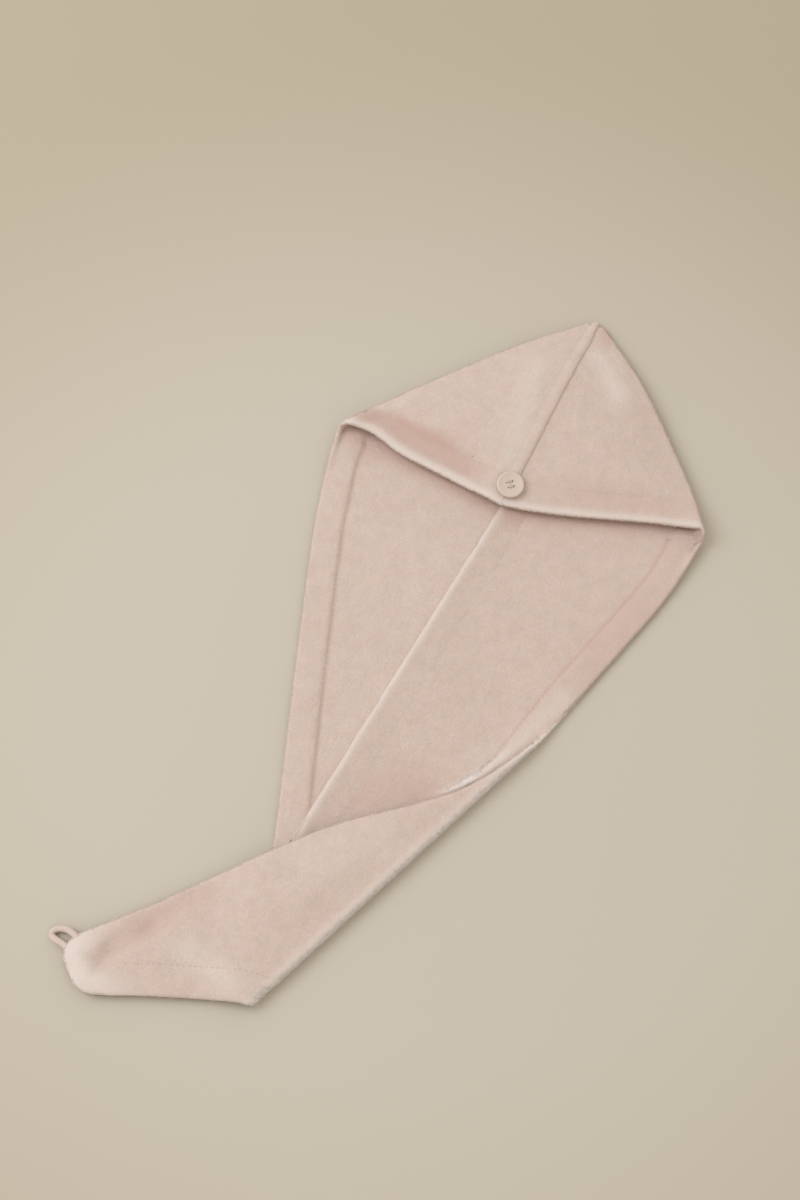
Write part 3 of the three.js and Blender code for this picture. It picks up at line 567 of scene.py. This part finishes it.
# strokes of painted shade (over 0) and painted highlight (under 0): layer, from (across, up) to (across, up)
# in mm, width, painted shading
paintedShadingStrokes = [
    ("pocket", 7, 140, 33, 120, 9.0, -0.45),
    ("pocket", -27, 107, -9, 30, 9.0, -0.3),
    ("pocket", 2, 164, 6, 158, 5.0, 0.5),
    ("pocket", -92, 24, -52, 27, 6.0, 0.3),
    ("pocket", 45, 40, 100, 52, 14.0, 0.15),
    ("lower", -100, -6, -118, -5, 7.0, 0.35),
    ("lower", 5, -240, 50, -205, 16.0, 0.35),
    ("lower", 122, -20, 110, -70, 9.0, 0.2),
    ("lower", 103, -105, 80, -185, 9.0, -0.45),
    ("tail", -40, -338, -60, -375, 8.0, 0.35),
    ("tail", -60, -375, -77, -400, 6.0, 0.3),
    ("tail", -30, -375, 5, -380, 10.0, -0.3),
    ("tail", 10, -290, 40, -250, 16.0, -0.2),
]


def paintedCreaseShade(hem):
    # painted shade along the line of the hem's stitching, a little darker
    return paintedShadingShare["crease"] * bump(hem, cloth["stitchFrom"], cloth["stitchWidth"])


def paintedShadingAt(layer, u, v):
    paintedShading = 0.0
    for name, ax, ay, bx, by, wide, amount in paintedShadingStrokes:
        if name == layer:
            paintedShading = paintedShading + amount * bump(fromStroke(u, v, ax, ay, bx, by)[0], 0, wide)
    return paintedShading


def layGrid(bm, places, *values):
    rows, columns = places.shape[:2]
    made = bmesh.ops.create_grid(bm, x_segments=columns - 1, y_segments=rows - 1, size=0.5)["verts"]
    layers = [bm.verts.layers.float[name] for name in panelLayers]
    for vert in made:
        i = round((vert.co.x + 0.5) * (columns - 1))
        j = round((vert.co.y + 0.5) * (rows - 1))
        place = Vector(places[j, i])
        vert.co = (place + seamStart) * mm
        for layer, value in zip(layers, values):
            vert[layer] = value[j, i]


def wave(co):
    slow = noise.noise(Vector((co.x, co.y, 0.3)) * 1000 / cloth["waveLength"])
    return cloth["waveHeight"] * mm * max(0.0, 0.45 + 0.9 * slow)


def lumpAt(point):
    # fine and coarse tufts
    return noise.noise(point / cloth["pileLength"]) + 0.6 * noise.noise(point / (2.3 * cloth["pileLength"]))


def roughen(bm, awayLayer):
    # the pile, and puckers along the stitching
    hemLayer = bm.verts.layers.float["hem"]
    for vert in bm.verts:
        point = vert.co / mm
        off = (vert[hemLayer] - cloth["stitchFrom"]) / cloth["puckerWidth"]
        pucker = math.exp(-off * off) * noise.noise(point / cloth["puckerLength"] + Vector((7, 3, 1)))
        move = cloth["pileHeight"] * lumpAt(point) + cloth["puckerHeight"] * pucker
        vert.co += vert[awayLayer] * move * mm
        vert.co.z = max(vert.co.z, 0.0)


def makePanel(name, side):
    bm = bmesh.new()
    for layer in panelLayers + ["paintedShading"]:
        bm.verts.layers.float.new(layer)
    away = bm.verts.layers.float_vector.new("away")
    places, hem, border, tones, lowCount = pocketPlaces(side)
    layGrid(bm, places, *wallOffsets(hem, border, 0.0, cloth["pocketGroove"]), hem, *tones)
    lower, hemLow, borderLow, paintedShadingLow, past = lowerPlaces(side, places[-1, -lowCount:])
    puff, paintedShadingOut = 0.0 * hemLow, 0.0 * hemLow
    if side > 0:
        tailShare = np.broadcast_to(np.linspace(0, 1, lower.shape[0])[:, None], hemLow.shape)
        atTip = smooth(0.9, 0.97, tailShare)
        puff = (cloth["tailPuff"] + cloth["tipPuff"] * atTip) * smooth(0, 30, past)
        # painted highlight on the tail's tip roll and on the fold's side, plus painted strokes
        tip = paintedShadingShare["tipHighlight"] * atTip * (1 - smooth(8, 22, hemLow))
        paintedShadingOut = tip + paintedShadingShare["foldSideHighlight"] * smooth(-3, 1, past) * (1 - smooth(6, 15, past))
        paintedShadingOut = paintedShadingOut + paintedShadingAt("tail", lower[:, :, 0], lower[:, :, 1])
    grooved = wallOffsets(hemLow, borderLow, puff, cloth["outsideGroove"])
    layGrid(bm, lower, *grooved, hemLow, paintedShadingLow, paintedShadingOut)
    bmesh.ops.remove_doubles(bm, verts=bm.verts, dist=2e-6)
    for vert in bm.verts:
        vert.co.z += wave(vert.co)
    bmesh.ops.recalc_face_normals(bm, faces=bm.faces)
    bm.normal_update()
    flat = min(bm.verts, key=lambda v: (v.co - (Vector((side * 40.0, -60.0, 1.0)) + seamStart) * mm).length)
    if flat.normal.z < 0:
        bmesh.ops.reverse_faces(bm, faces=bm.faces)
        bm.normal_update()
    for vert in bm.verts:
        vert[away] = vert.normal
    copied = bmesh.ops.duplicate(bm, geom=bm.verts[:] + bm.edges[:] + bm.faces[:])["geom"]
    outsideFaces = [part for part in copied if isinstance(part, bmesh.types.BMFace)]
    outsideVerts = {part for part in copied if isinstance(part, bmesh.types.BMVert)}
    bmesh.ops.reverse_faces(bm, faces=outsideFaces)
    layers = bm.verts.layers.float
    for vert in bm.verts:
        outside = vert in outsideVerts
        if outside:
            vert[away] = -vert[away]
        vert.co += vert[away] * vert[layers["outer" if outside else "inner"]] * mm
        vert[layers["paintedShading"]] = vert[layers["paintedShadingOut" if outside else "paintedShadingIn"]]
    rims = [vert for vert in bm.verts if any(edge.is_boundary for edge in vert.link_edges)]
    bmesh.ops.remove_doubles(bm, verts=rims, dist=5e-6)
    roughen(bm, away)
    openEdges = sum(not edge.is_manifold for edge in bm.edges)
    area = sum(f.calc_area() for f in bm.faces) / 2
    print(f"{name}: {len(bm.faces)} faces, {openEdges} open edges, {area:.4f} m2")
    return bm


def meshFrom(name, bm):
    mesh = bpy.data.meshes.new(name)
    bm.to_mesh(mesh)
    bm.free()
    return mesh


def placePiece(name, mesh, material, replaces=None):
    mesh.materials.append(material)
    piece = addObject(name, mesh)
    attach(piece, "root")
    if replaces:
        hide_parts(replaces)
    return piece


def finishPiece(name, bm, material, replaces=None):
    for face in bm.faces:
        face.smooth = True
    return placePiece(name, meshFrom(name, bm), material, replaces)


def baked(made):
    # a piece's mesh with its modifiers, or a curve's tube
    bpy.context.view_layer.update()
    return bpy.data.meshes.new_from_object(made.evaluated_get(bpy.context.evaluated_depsgraph_get()))


leftHalf = finishPiece("leftHalf", makePanel("left half", -1), terryLeft, "left_panel")
rightHalf = finishPiece("rightHalf", makePanel("right half", 1), terryRight, "right_panel")


# seams, stitches, button and loop
clothTree = BVHTree.FromPolygons(
    [vert.co[:] for half in (leftHalf, rightHalf) for vert in half.data.vertices],
    [poly.vertices[:] for poly in leftHalf.data.polygons]
    + [[i + len(leftHalf.data.vertices) for i in poly.vertices] for poly in rightHalf.data.polygons])


def topHit(u, v):
    # highest cloth over a point of the plan, and which way it faces
    return clothTree.ray_cast((Vector((u, v, 60.0)) + seamStart) * mm, Vector((0, 0, -1)))[:2]


def topOf(u, v):
    hit = topHit(u, v)[0]
    return hit.z / mm if hit else 0.0


def faceFrom(place, direction):
    # from the middle of the wall out to its face
    hit = clothTree.ray_cast((Vector(place) + seamStart) * mm, direction, 8 * mm)[0]
    return hit / mm - seamStart if hit else None


def stripFromRings(rings, roughness):
    # closed strip through rings of points, in mm
    bm = bmesh.new()
    rows, around = len(rings), len(rings[0])
    made = bmesh.ops.create_grid(bm, x_segments=around, y_segments=rows - 1, size=0.5)["verts"]
    for vert in made:
        i = round((vert.co.x + 0.5) * around) % around
        j = round((vert.co.y + 0.5) * (rows - 1))
        vert.co = (Vector(rings[j][i]) + seamStart) * mm
        vert.co.z = max(vert.co.z, 0.0)
    bmesh.ops.remove_doubles(bm, verts=bm.verts, dist=1e-6)
    bmesh.ops.holes_fill(bm, edges=[edge for edge in bm.edges if edge.is_boundary], sides=0)
    bmesh.ops.recalc_face_normals(bm, faces=bm.faces)
    bm.normal_update()
    for vert in bm.verts:
        vert.co += vert.normal * lumpAt(vert.co / mm) * roughness * mm
        vert.co.z = max(vert.co.z, 0.0)
    return bm


backSeam = {
    "from": 118.0, "to": -298.0, "step": 1.6, "rough": 0.24,
    # across from the seam line and height over the cloth, in mm: steep on the left, fading out on the right
    "top": [(-0.5, 0.2), (-0.7, 1.1), (-0.3, 2.0), (0.6, 2.6), (1.8, 2.8), (3.2, 2.65), (5.0, 2.2),
            (7.5, 1.6), (10.5, 1.05), (14.0, 0.55), (18.0, 0.15), (21.0, -0.3), (23.0, -0.8)],
    "sunk": 0.95, "wander": 0.35, "uneven": 0.12,
    "shade": 0.65, "pale": -0.5,                         # painted shade at the mouth, and painted highlight along the ridge
}


def makeBackSeam():
    rings = []
    count = int((backSeam["from"] - backSeam["to"]) / backSeam["step"])
    for k in range(count + 1):
        v = mix(backSeam["from"], backSeam["to"], k / count)
        high = 0.75 + 0.25 * float(smooth(0, 30, backSeam["from"] - v))
        middle = float(seamAcross(v)) + backSeam["wander"] * noise.noise(Vector((v / 23, 5.0, 0)))
        top = []
        for across, up in backSeam["top"]:
            uneven = 1 + backSeam["uneven"] * noise.noise(Vector((v / 9, across / 4, 2)))
            top.append((across, up * high * uneven))
        under = [(across, -backSeam["sunk"]) for across, up in reversed(top[1:-1])]
        rings.append([(middle + across, v, pointOnLower(middle + across, v) + up)
                      for across, up in top + under])
    bm = stripFromRings(rings, backSeam["rough"])
    paintedShading = bm.verts.layers.float.new("paintedShading")
    for vert in bm.verts:
        v = vert.co.y / mm - seamStart.y
        across = vert.co.x / mm - seamStart.x - float(seamAcross(v))
        # painted shade where the mouth's hem covers the seam, painted highlight along the ridge's left edge
        shade = backSeam["shade"] * math.exp(-(max(-v, 0) / 8) ** 2)
        vert[paintedShading] = shade + backSeam["pale"] * math.exp(-((across - 1.0) / 3.0) ** 2)
    return bm


def pointOnLower(u, v):
    # top of the lower layer, also where the pocket or the tail covers it
    place = laid(np.array(u), np.array(v)) if v < 0 else np.array((u, v, cloth["wall"] / 2))
    start = Vector((float(u), float(v), float(place[2])))
    start.z += wave((start + seamStart) * mm) / mm
    hit = faceFrom(start, Vector((0, 0, 1)))
    return hit.z if hit else start.z + cloth["wall"] / 2


frontSeam = {
    "from": 23.0, "step": 1.5, "rough": 0.24, "half": 3.9, "sunk": 0.9,
    "top": [(-1.35, -0.35), (-1.2, 0.02), (-0.98, 0.35), (-0.7, 0.85), (-0.36, 1.3), (0.0, 1.6),
            (0.36, 1.7), (0.66, 1.5), (0.86, 1.1), (0.95, 0.55), (1.0, 0.0), (1.04, -0.5)],
}


def makeFrontSeam():
    rings = []
    high = cloth["frontSeam"] * (1 - cloth["crownShare"])
    count = int((high - frontSeam["from"]) / frontSeam["step"])
    for k in range(count + 1):
        v = mix(frontSeam["from"], high, k / count)
        half = frontSeam["half"] * mix(0.72, 1, float(smooth(0, 22, high - v)))
        wander = 0.4 * noise.noise(Vector((v / 17, 1.0, 0)))
        lower = mix(0.3, 1, float(smooth(0, 4, v - frontSeam["from"])))
        middle = float(seamAcross(v)) + wander
        sides = topOf(middle - 1.1 * half, v), topOf(middle + 1.1 * half, v)
        top = [(across, up * lower) for across, up in frontSeam["top"]]
        under = [(across, -frontSeam["sunk"]) for across, up in reversed(top[1:-1])]
        rings.append([(middle + across * half, v, mix(*sides, (across + 1.1) / 2.2) + up)
                      for across, up in top + under])
    # over the crown point and down to the table
    last = rings[-1]
    crown = max(point[2] for point in last)
    for turn in (25, 50, 72, 90):
        bend = math.radians(turn)
        out = crown * 0.62
        scale = mix(1, 0.8, turn / 90)
        middle = sum(point[0] for point in last) / len(last)
        ring = []
        for x, y, z in last:
            under = crown - z
            reach = out - under * 0.9
            ring.append((middle + (x - middle) * scale, y + reach * math.sin(bend),
                         crown - out + reach * math.cos(bend)))
        rings.append(ring)
    return stripFromRings(rings, frontSeam["rough"])


finishPiece("backSeam", makeBackSeam(), seamCloth, "back_seam")
finishPiece("frontSeam", makeFrontSeam(), seamCloth, "front_seam")
print("seams made")

stitch = {"pitch": 3.4, "length": 2.4, "thick": 0.36, "raised": 0.1, "sunk": -0.06}


def stitchRow(bm, places, normals, raised=stitch["raised"]):
    # one short thread for each pitch along a line of places, in mm
    done = 0.0
    for k in range(1, len(places)):
        done += (places[k] - places[k - 1]).length
        if done < stitch["pitch"]:
            continue
        done = 0.0
        along = (places[k] - places[k - 1]).normalized()
        normal = (normals[k] - along * normals[k].dot(along)).normalized()
        turn = Matrix((along, normal.cross(along), normal)).transposed().to_4x4()
        centre = (places[k] + normal * raised + seamStart) * mm
        half, thick = stitch["length"] * mm / 2, stitch["thick"] * mm / 2
        matrix = Matrix.Translation(centre) @ turn @ Matrix.Diagonal((half, thick, thick, 1))
        bmesh.ops.create_icosphere(bm, subdivisions=1, radius=1.0, matrix=matrix)


def hemLine(edge, sign, vs):
    # flat points a hem's width in from an edge
    slope = slopeOf(edge, vs)
    inset = sign * cloth["stitchFrom"] / np.hypot(1, slope)
    return edge(vs) + inset, vs - inset * slope


def stitchHem(bm, us, vs, faces):
    # one row of thread on each face that is asked for: 1 is the inside, -1 the outside
    places = laid(us, vs)
    before, after = laid(us - 0.5, vs), laid(us + 0.5, vs)
    low, high = laid(us, vs - 0.5), laid(us, vs + 0.5)
    normals = np.cross(after - before, high - low)
    for face in faces:
        points, aways = [], []
        for place, normal in zip(places, normals):
            start = Vector(place)
            start.z += wave((start + seamStart) * mm) / mm
            away = Vector(normal).normalized() * face
            hit = faceFrom(start, away)
            if hit:
                points.append(hit)
                aways.append(away)
        if len(points) > 2:
            stitchRow(bm, points, aways)


def makeStitches():
    bm = bmesh.new()
    left = np.linspace(-3, -cloth["leftReach"] + 6, 500)
    u, v = hemLine(leftEdge, 1, left)
    inside = u < seamAcross(v) - 1.5
    stitchHem(bm, u[inside], v[inside], (1, -1))
    right = np.linspace(38, -cloth["tailReach"] * 0.95, 900)
    u, v = hemLine(rightEdge, -1, right)
    stitchHem(bm, u, v, (1,))
    tail = np.linspace(-cloth["tailHemStart"], -cloth["tailReach"] * 0.95, 300)
    u, v = hemLine(leftEdge, 1, tail)
    stitchHem(bm, u, v, (1, -1))
    for side in (-1, 1):                                 # the mouth's hem, on the pocket's outside
        share = 1 - cloth["stitchFrom"] / cloth["frontSeam"]
        walk = np.linspace(2.0, 2.93, 300)
        line = pocketPoint(side, np.full(walk.shape, share), walk)
        hits = [topHit(x, y) for x, y in line[:, :2]]
        places, facings = [hit / mm - seamStart for hit, facing in hits], [facing for hit, facing in hits]
        stitchRow(bm, places, facings, stitch["sunk"])
    for vert in bm.verts:
        vert.co.z = max(vert.co.z, 0.0)
    return bm


stitches = finishPiece("hemStitches", makeStitches(), threadFinish)
print("stitches sewn")

button = {"diameter": 19.6, "thickness": 3.0, "rim": 1.8, "dish": 0.5, "hole": 1.4, "holeSpacing": 3.8,
          "thread": 0.44, "raised": 0.9, "steps": 72}


def buttonPlace():
    # over the solid button's middle, lying on the cloth
    low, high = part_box("button")
    middle = (Vector(low) + Vector(high)) / 2 / mm - seamStart
    reach = button["diameter"] * 0.42
    rim = []
    for k in range(12):
        x = middle.x + reach * math.cos(k * math.pi / 6)
        y = middle.y + reach * math.sin(k * math.pi / 6)
        rim.append((x, y, topOf(x, y)))
    rim = np.array(rim)
    facing = Vector(np.linalg.svd(rim - rim.mean(axis=0))[2][2])
    facing = facing if facing.z > 0 else -facing
    height = max((Vector(point) - Vector(rim.mean(axis=0))).dot(facing) for point in rim)
    foot = Vector(rim.mean(axis=0)) + facing * (min(height, 0.8) + button["raised"])
    turn = facing.to_track_quat("Z", "Y").to_matrix().to_4x4()
    return Matrix.Translation((foot + seamStart) * mm) @ turn


def makeButton():
    radius, thick = button["diameter"] / 2, button["thickness"]
    floor = thick - button["dish"]
    outline = [(0, 0), (radius * 0.7, 0), (radius * 0.86, thick * 0.06), (radius * 0.95, thick * 0.22),
               (radius * 0.992, thick * 0.45), (radius, thick * 0.62), (radius - 0.15, thick * 0.8),
               (radius - 0.5, thick * 0.94), (radius - 1.0, thick), (radius - button["rim"], thick * 0.97),
               (radius - button["rim"] * 1.35, thick * 0.86), (radius - button["rim"] * 1.7, floor + 0.12),
               (radius - button["rim"] * 2.1, floor), (0, floor)]
    bm = bmesh.new()
    verts = [bm.verts.new((x * mm, 0, z * mm)) for x, z in outline]
    edges = [bm.edges.new(pair) for pair in zip(verts, verts[1:])]
    bmesh.ops.spin(bm, geom=verts + edges, cent=(0, 0, 0), axis=(0, 0, 1), angle=2 * math.pi,
                   steps=button["steps"], use_merge=True)
    bmesh.ops.remove_doubles(bm, verts=bm.verts, dist=1e-6)
    bmesh.ops.recalc_face_normals(bm, faces=bm.faces)
    return bm


holeHalf = button["holeSpacing"] / 2
holeSpots = [(x * holeHalf, y * holeHalf) for x, y in ((-1, -1), (1, -1), (1, 1), (-1, 1))]


def drillButton(piece):
    bm = bmesh.new()
    for x, y in holeSpots:
        bmesh.ops.create_cone(bm, cap_ends=True, segments=24, radius1=button["hole"] * mm / 2,
                              radius2=button["hole"] * mm / 2, depth=0.02,
                              matrix=Matrix.Translation((x * mm, y * mm, 0)))
    drills = addObject("drills", meshFrom("drills", bm))
    drill = piece.modifiers.new("holes", "BOOLEAN")
    drill.object = drills
    drill.operation = "DIFFERENCE"
    drill.solver = "EXACT"
    cut = baked(piece)
    piece.modifiers.clear()
    piece.data = cut
    bpy.data.objects.remove(drills)


place = buttonPlace()
disc = finishPiece("plasticButton", makeButton(), buttonFinish, "button")
drillButton(disc)
disc.data.transform(place)
disc.data.shade_smooth()
disc.data.set_sharp_from_angle(angle=math.radians(38))


def tube(name, points, thick, steps=6):
    # round thread or cord through points in metres
    curve = bpy.data.curves.new(name, "CURVE")
    curve.dimensions = "3D"
    curve.bevel_depth = thick / 2
    curve.bevel_resolution = 2
    curve.use_fill_caps = True
    curve.resolution_u = steps
    spline = curve.splines.new("NURBS")
    spline.points.add(len(points) - 1)
    for point, co in zip(spline.points, points):
        point.co = (*co, 1)
    spline.use_endpoint_u = True
    spline.order_u = 4
    made = addObject(name, curve)
    mesh = baked(made)
    bpy.data.objects.remove(made)
    return mesh


def makeThread():
    # two stitches of four strands, and the shank wound under the button
    bm = bmesh.new()
    floor = (button["thickness"] - button["dish"]) * mm
    half = button["holeSpacing"] * mm / 2
    thread = button["thread"] * mm
    for row in (-1, 1):
        for strand in range(4):
            y = row * half + (strand - 1.5) * thread * 0.95
            top = floor + thread * (0.75 + 0.35 * (strand in (1, 2)))
            high = top + thread * 0.3
            points = [(-half, y, -1.2 * mm), (-half, y, floor * 0.6), (-half * 0.9, y, top),
                      (-half * 0.3, y * 1.02, high), (half * 0.3, y * 0.98, high),
                      (half * 0.9, y, top), (half, y, floor * 0.6), (half, y, -1.2 * mm)]
            bm.from_mesh(tube("strand", points, thread))
    wound = []
    for k in range(60):
        turn = k * 0.55
        wound.append((2.5 * mm * math.cos(turn), 2.5 * mm * math.sin(turn), mix(-1.25, -0.2, k / 59) * mm))
    bm.from_mesh(tube("shank", wound, thread * 1.2))
    bmesh.ops.transform(bm, matrix=place, verts=bm.verts)
    return bm


finishPiece("buttonThread", makeThread(), threadFinish, "button_thread")
print("button sewn on")

loop = {"cord": 4.6, "spread": 9.5, "down": 0.972,
        "route": [(-4.0, 0.1, 1.2), (0.5, 0.1, 1.0), (4.6, 0.12, 0.8), (9.2, 0.27, 0.4), (13.0, 0.62, 0.1),
                  (14.2, 0.96, 0.0), (12.6, 1.2, 0.0), (8.4, 1.18, 0.3), (3.0, 1.02, 0.8), (-2.0, 0.95, 1.1)]}


def makeLoop():
    ends = []
    for down in (loop["down"], loop["down"] + loop["spread"] / cloth["tailReach"]):
        v = np.array(-down * cloth["tailReach"])
        ends.append(Vector(laid(rightEdge(v), v)))
    across = (ends[1] - ends[0]).copy()
    across.z = 0
    across.normalize()
    out = Vector((across.y, -across.x, 0))
    spread = (ends[1] - ends[0]).length
    points = []
    for far, share, up in loop["route"]:
        point = ends[0] + across * share * spread + out * far
        point.z = mix(loop["cord"] / 2, ends[0].z, up)
        points.append((point + seamStart) * mm)
    bm = bmesh.new()
    bm.from_mesh(tube("elastic", points, loop["cord"] * mm, steps=8))
    return bm


finishPiece("elasticLoop", makeLoop(), elasticFinish, "button_loop")
print("loop made")


# pile
pile = {"perSquareMetre": 1100000, "height": 0.001, "width": 0.00036, "lean": 0.5,
        "under": -0.35, "steep": 0.8, "off": 0.0012, "reach": 0.0075}


def markOpen(piece):
    # pile stands out along the rims and edges, where nothing lies on the cloth
    mesh = piece.data
    share = mesh.attributes.new("open", "FLOAT", "FACE")
    for poly in mesh.polygons:
        up = poly.normal
        clear = pile["under"] < up.z < pile["steep"]
        if clear:
            clear = clothTree.ray_cast(poly.center + up * pile["off"], up, pile["reach"])[0] is None
        share.data[poly.index].value = 1.0 if clear else 0.0


def pileNodes():
    group = bpy.data.node_groups.new("terryPile", "GeometryNodeTree")
    group.interface.new_socket("Geometry", in_out="INPUT", socket_type="NodeSocketGeometry")
    group.interface.new_socket("Geometry", in_out="OUTPUT", socket_type="NodeSocketGeometry")
    start = addNode(group, "NodeGroupInput")
    opened = addNode(group, "GeometryNodeInputNamedAttribute", {"Name": "open"}, data_type="FLOAT")
    density = addNode(group, "ShaderNodeMath",
                      {0: opened.outputs["Attribute"], 1: float(pile["perSquareMetre"])},
                      operation="MULTIPLY")
    spread = addNode(group, "GeometryNodeDistributePointsOnFaces",
                     {"Mesh": start.outputs["Geometry"], "Density": density.outputs[0], "Seed": 4})
    tuft = addNode(group, "GeometryNodeMeshCone",
                   {"Vertices": 4, "Radius Bottom": pile["width"], "Radius Top": 0.0,
                    "Depth": pile["height"]}, fill_type="NONE")
    lean = addNode(group, "FunctionNodeRandomValue",
                   {"Min": (-pile["lean"], -pile["lean"], 0.0), "Max": (pile["lean"], pile["lean"], 6.28),
                    "Seed": 1}, data_type="FLOAT_VECTOR")
    size = addNode(group, "FunctionNodeRandomValue", {"Seed": 2}, data_type="FLOAT")
    size.inputs[2].default_value, size.inputs[3].default_value = 0.65, 1.3
    turned = addNode(group, "FunctionNodeRotateRotation",
                     {"Rotation": spread.outputs["Rotation"], "Rotate By": lean.outputs[0]},
                     rotation_space="LOCAL")
    tufts = addNode(group, "GeometryNodeInstanceOnPoints",
                    {"Points": spread.outputs["Points"], "Instance": tuft.outputs["Mesh"],
                     "Rotation": turned.outputs["Rotation"], "Scale": size.outputs[1]})
    real = addNode(group, "GeometryNodeRealizeInstances", {"Geometry": tufts.outputs["Instances"]})
    smoothed = addNode(group, "GeometryNodeSetShadeSmooth", {"Geometry": real.outputs["Geometry"]})
    addNode(group, "NodeGroupOutput", {"Geometry": smoothed.outputs["Geometry"]})
    return group


def growPile(name, piece, material, group):
    markOpen(piece)
    piece.modifiers.new("pile", "NODES").node_group = group
    mesh = baked(piece)
    piece.modifiers.clear()
    for vert in mesh.vertices:                           # no tuft reaches under the table top
        vert.co.z = max(vert.co.z, 0.0)
    mesh.name = name
    mesh.materials.clear()
    print(f"{name}: {len(mesh.polygons)} faces")
    return placePiece(name, mesh, material)


terryPile = pileNodes()
pileLeft = growPile("pileLeft", leftHalf, terryLeft, terryPile)
pileRight = growPile("pileRight", rightHalf, terryRight, terryPile)
print("pile grown")


# table and light
def makeFloor():
    bm = bmesh.new()
    bmesh.ops.create_grid(bm, x_segments=2, y_segments=2, size=4.0)
    floor = addObject("tableTop", meshFrom("tableTop", bm))
    return floor


# the browner colour away from the middle is painted shade
table = {"middle": (0.038, -0.031, 0.0), "evenTo": 0.2, "brownFrom": 0.62,
         "pale": (0.582, 0.527, 0.44, 1), "paintedFalloffBrown": (0.48, 0.42, 0.31, 1)}


def paleTable():
    # a pale table top, with painted shade making it a little browner away from the middle, where the light
    # falls off
    material, tree, shader = newMaterial("paleTable")
    where = addNode(tree, "ShaderNodeTexCoord").outputs["Object"]
    off = addNode(tree, "ShaderNodeVectorMath", {0: where, 1: table["middle"]}, operation="DISTANCE")
    far = addNode(tree, "ShaderNodeMapRange",
                  {"Value": off.outputs["Value"], "From Min": table["evenTo"],
                   "From Max": table["brownFrom"]}, interpolation_type="SMOOTHSTEP")
    colour = twoTone(tree, far.outputs["Result"], table["pale"], table["paintedFalloffBrown"])
    fillInputs(tree, shader, {"Base Color": colour, "Roughness": 0.75})
    return material


floor = makeFloor()
floor.data.materials.append(paleTable())


def areaLight(name, place, lookAt, size, power, colour):
    lamp = bpy.data.lights.new(name, "AREA")
    lamp.shape = "DISK"
    lamp.size = size
    lamp.energy = power
    lamp.color = colour
    aim(addObject(name, lamp), place, lookAt)


areaLight("windowLight", place=(-1.75, -0.45, 1.9), lookAt=(0, 0, 0), size=1.9, power=31,
          colour=(0.87, 0.917, 1.0))
world = bpy.data.worlds.new("room")
bpy.context.scene.world = world
world.use_nodes = True
fillInputs(world.node_tree, world.node_tree.nodes["Background"],
           {"Color": (1.0, 0.955, 0.88, 1), "Strength": 0.78})
bpy.context.scene.view_settings.view_transform = "Standard"
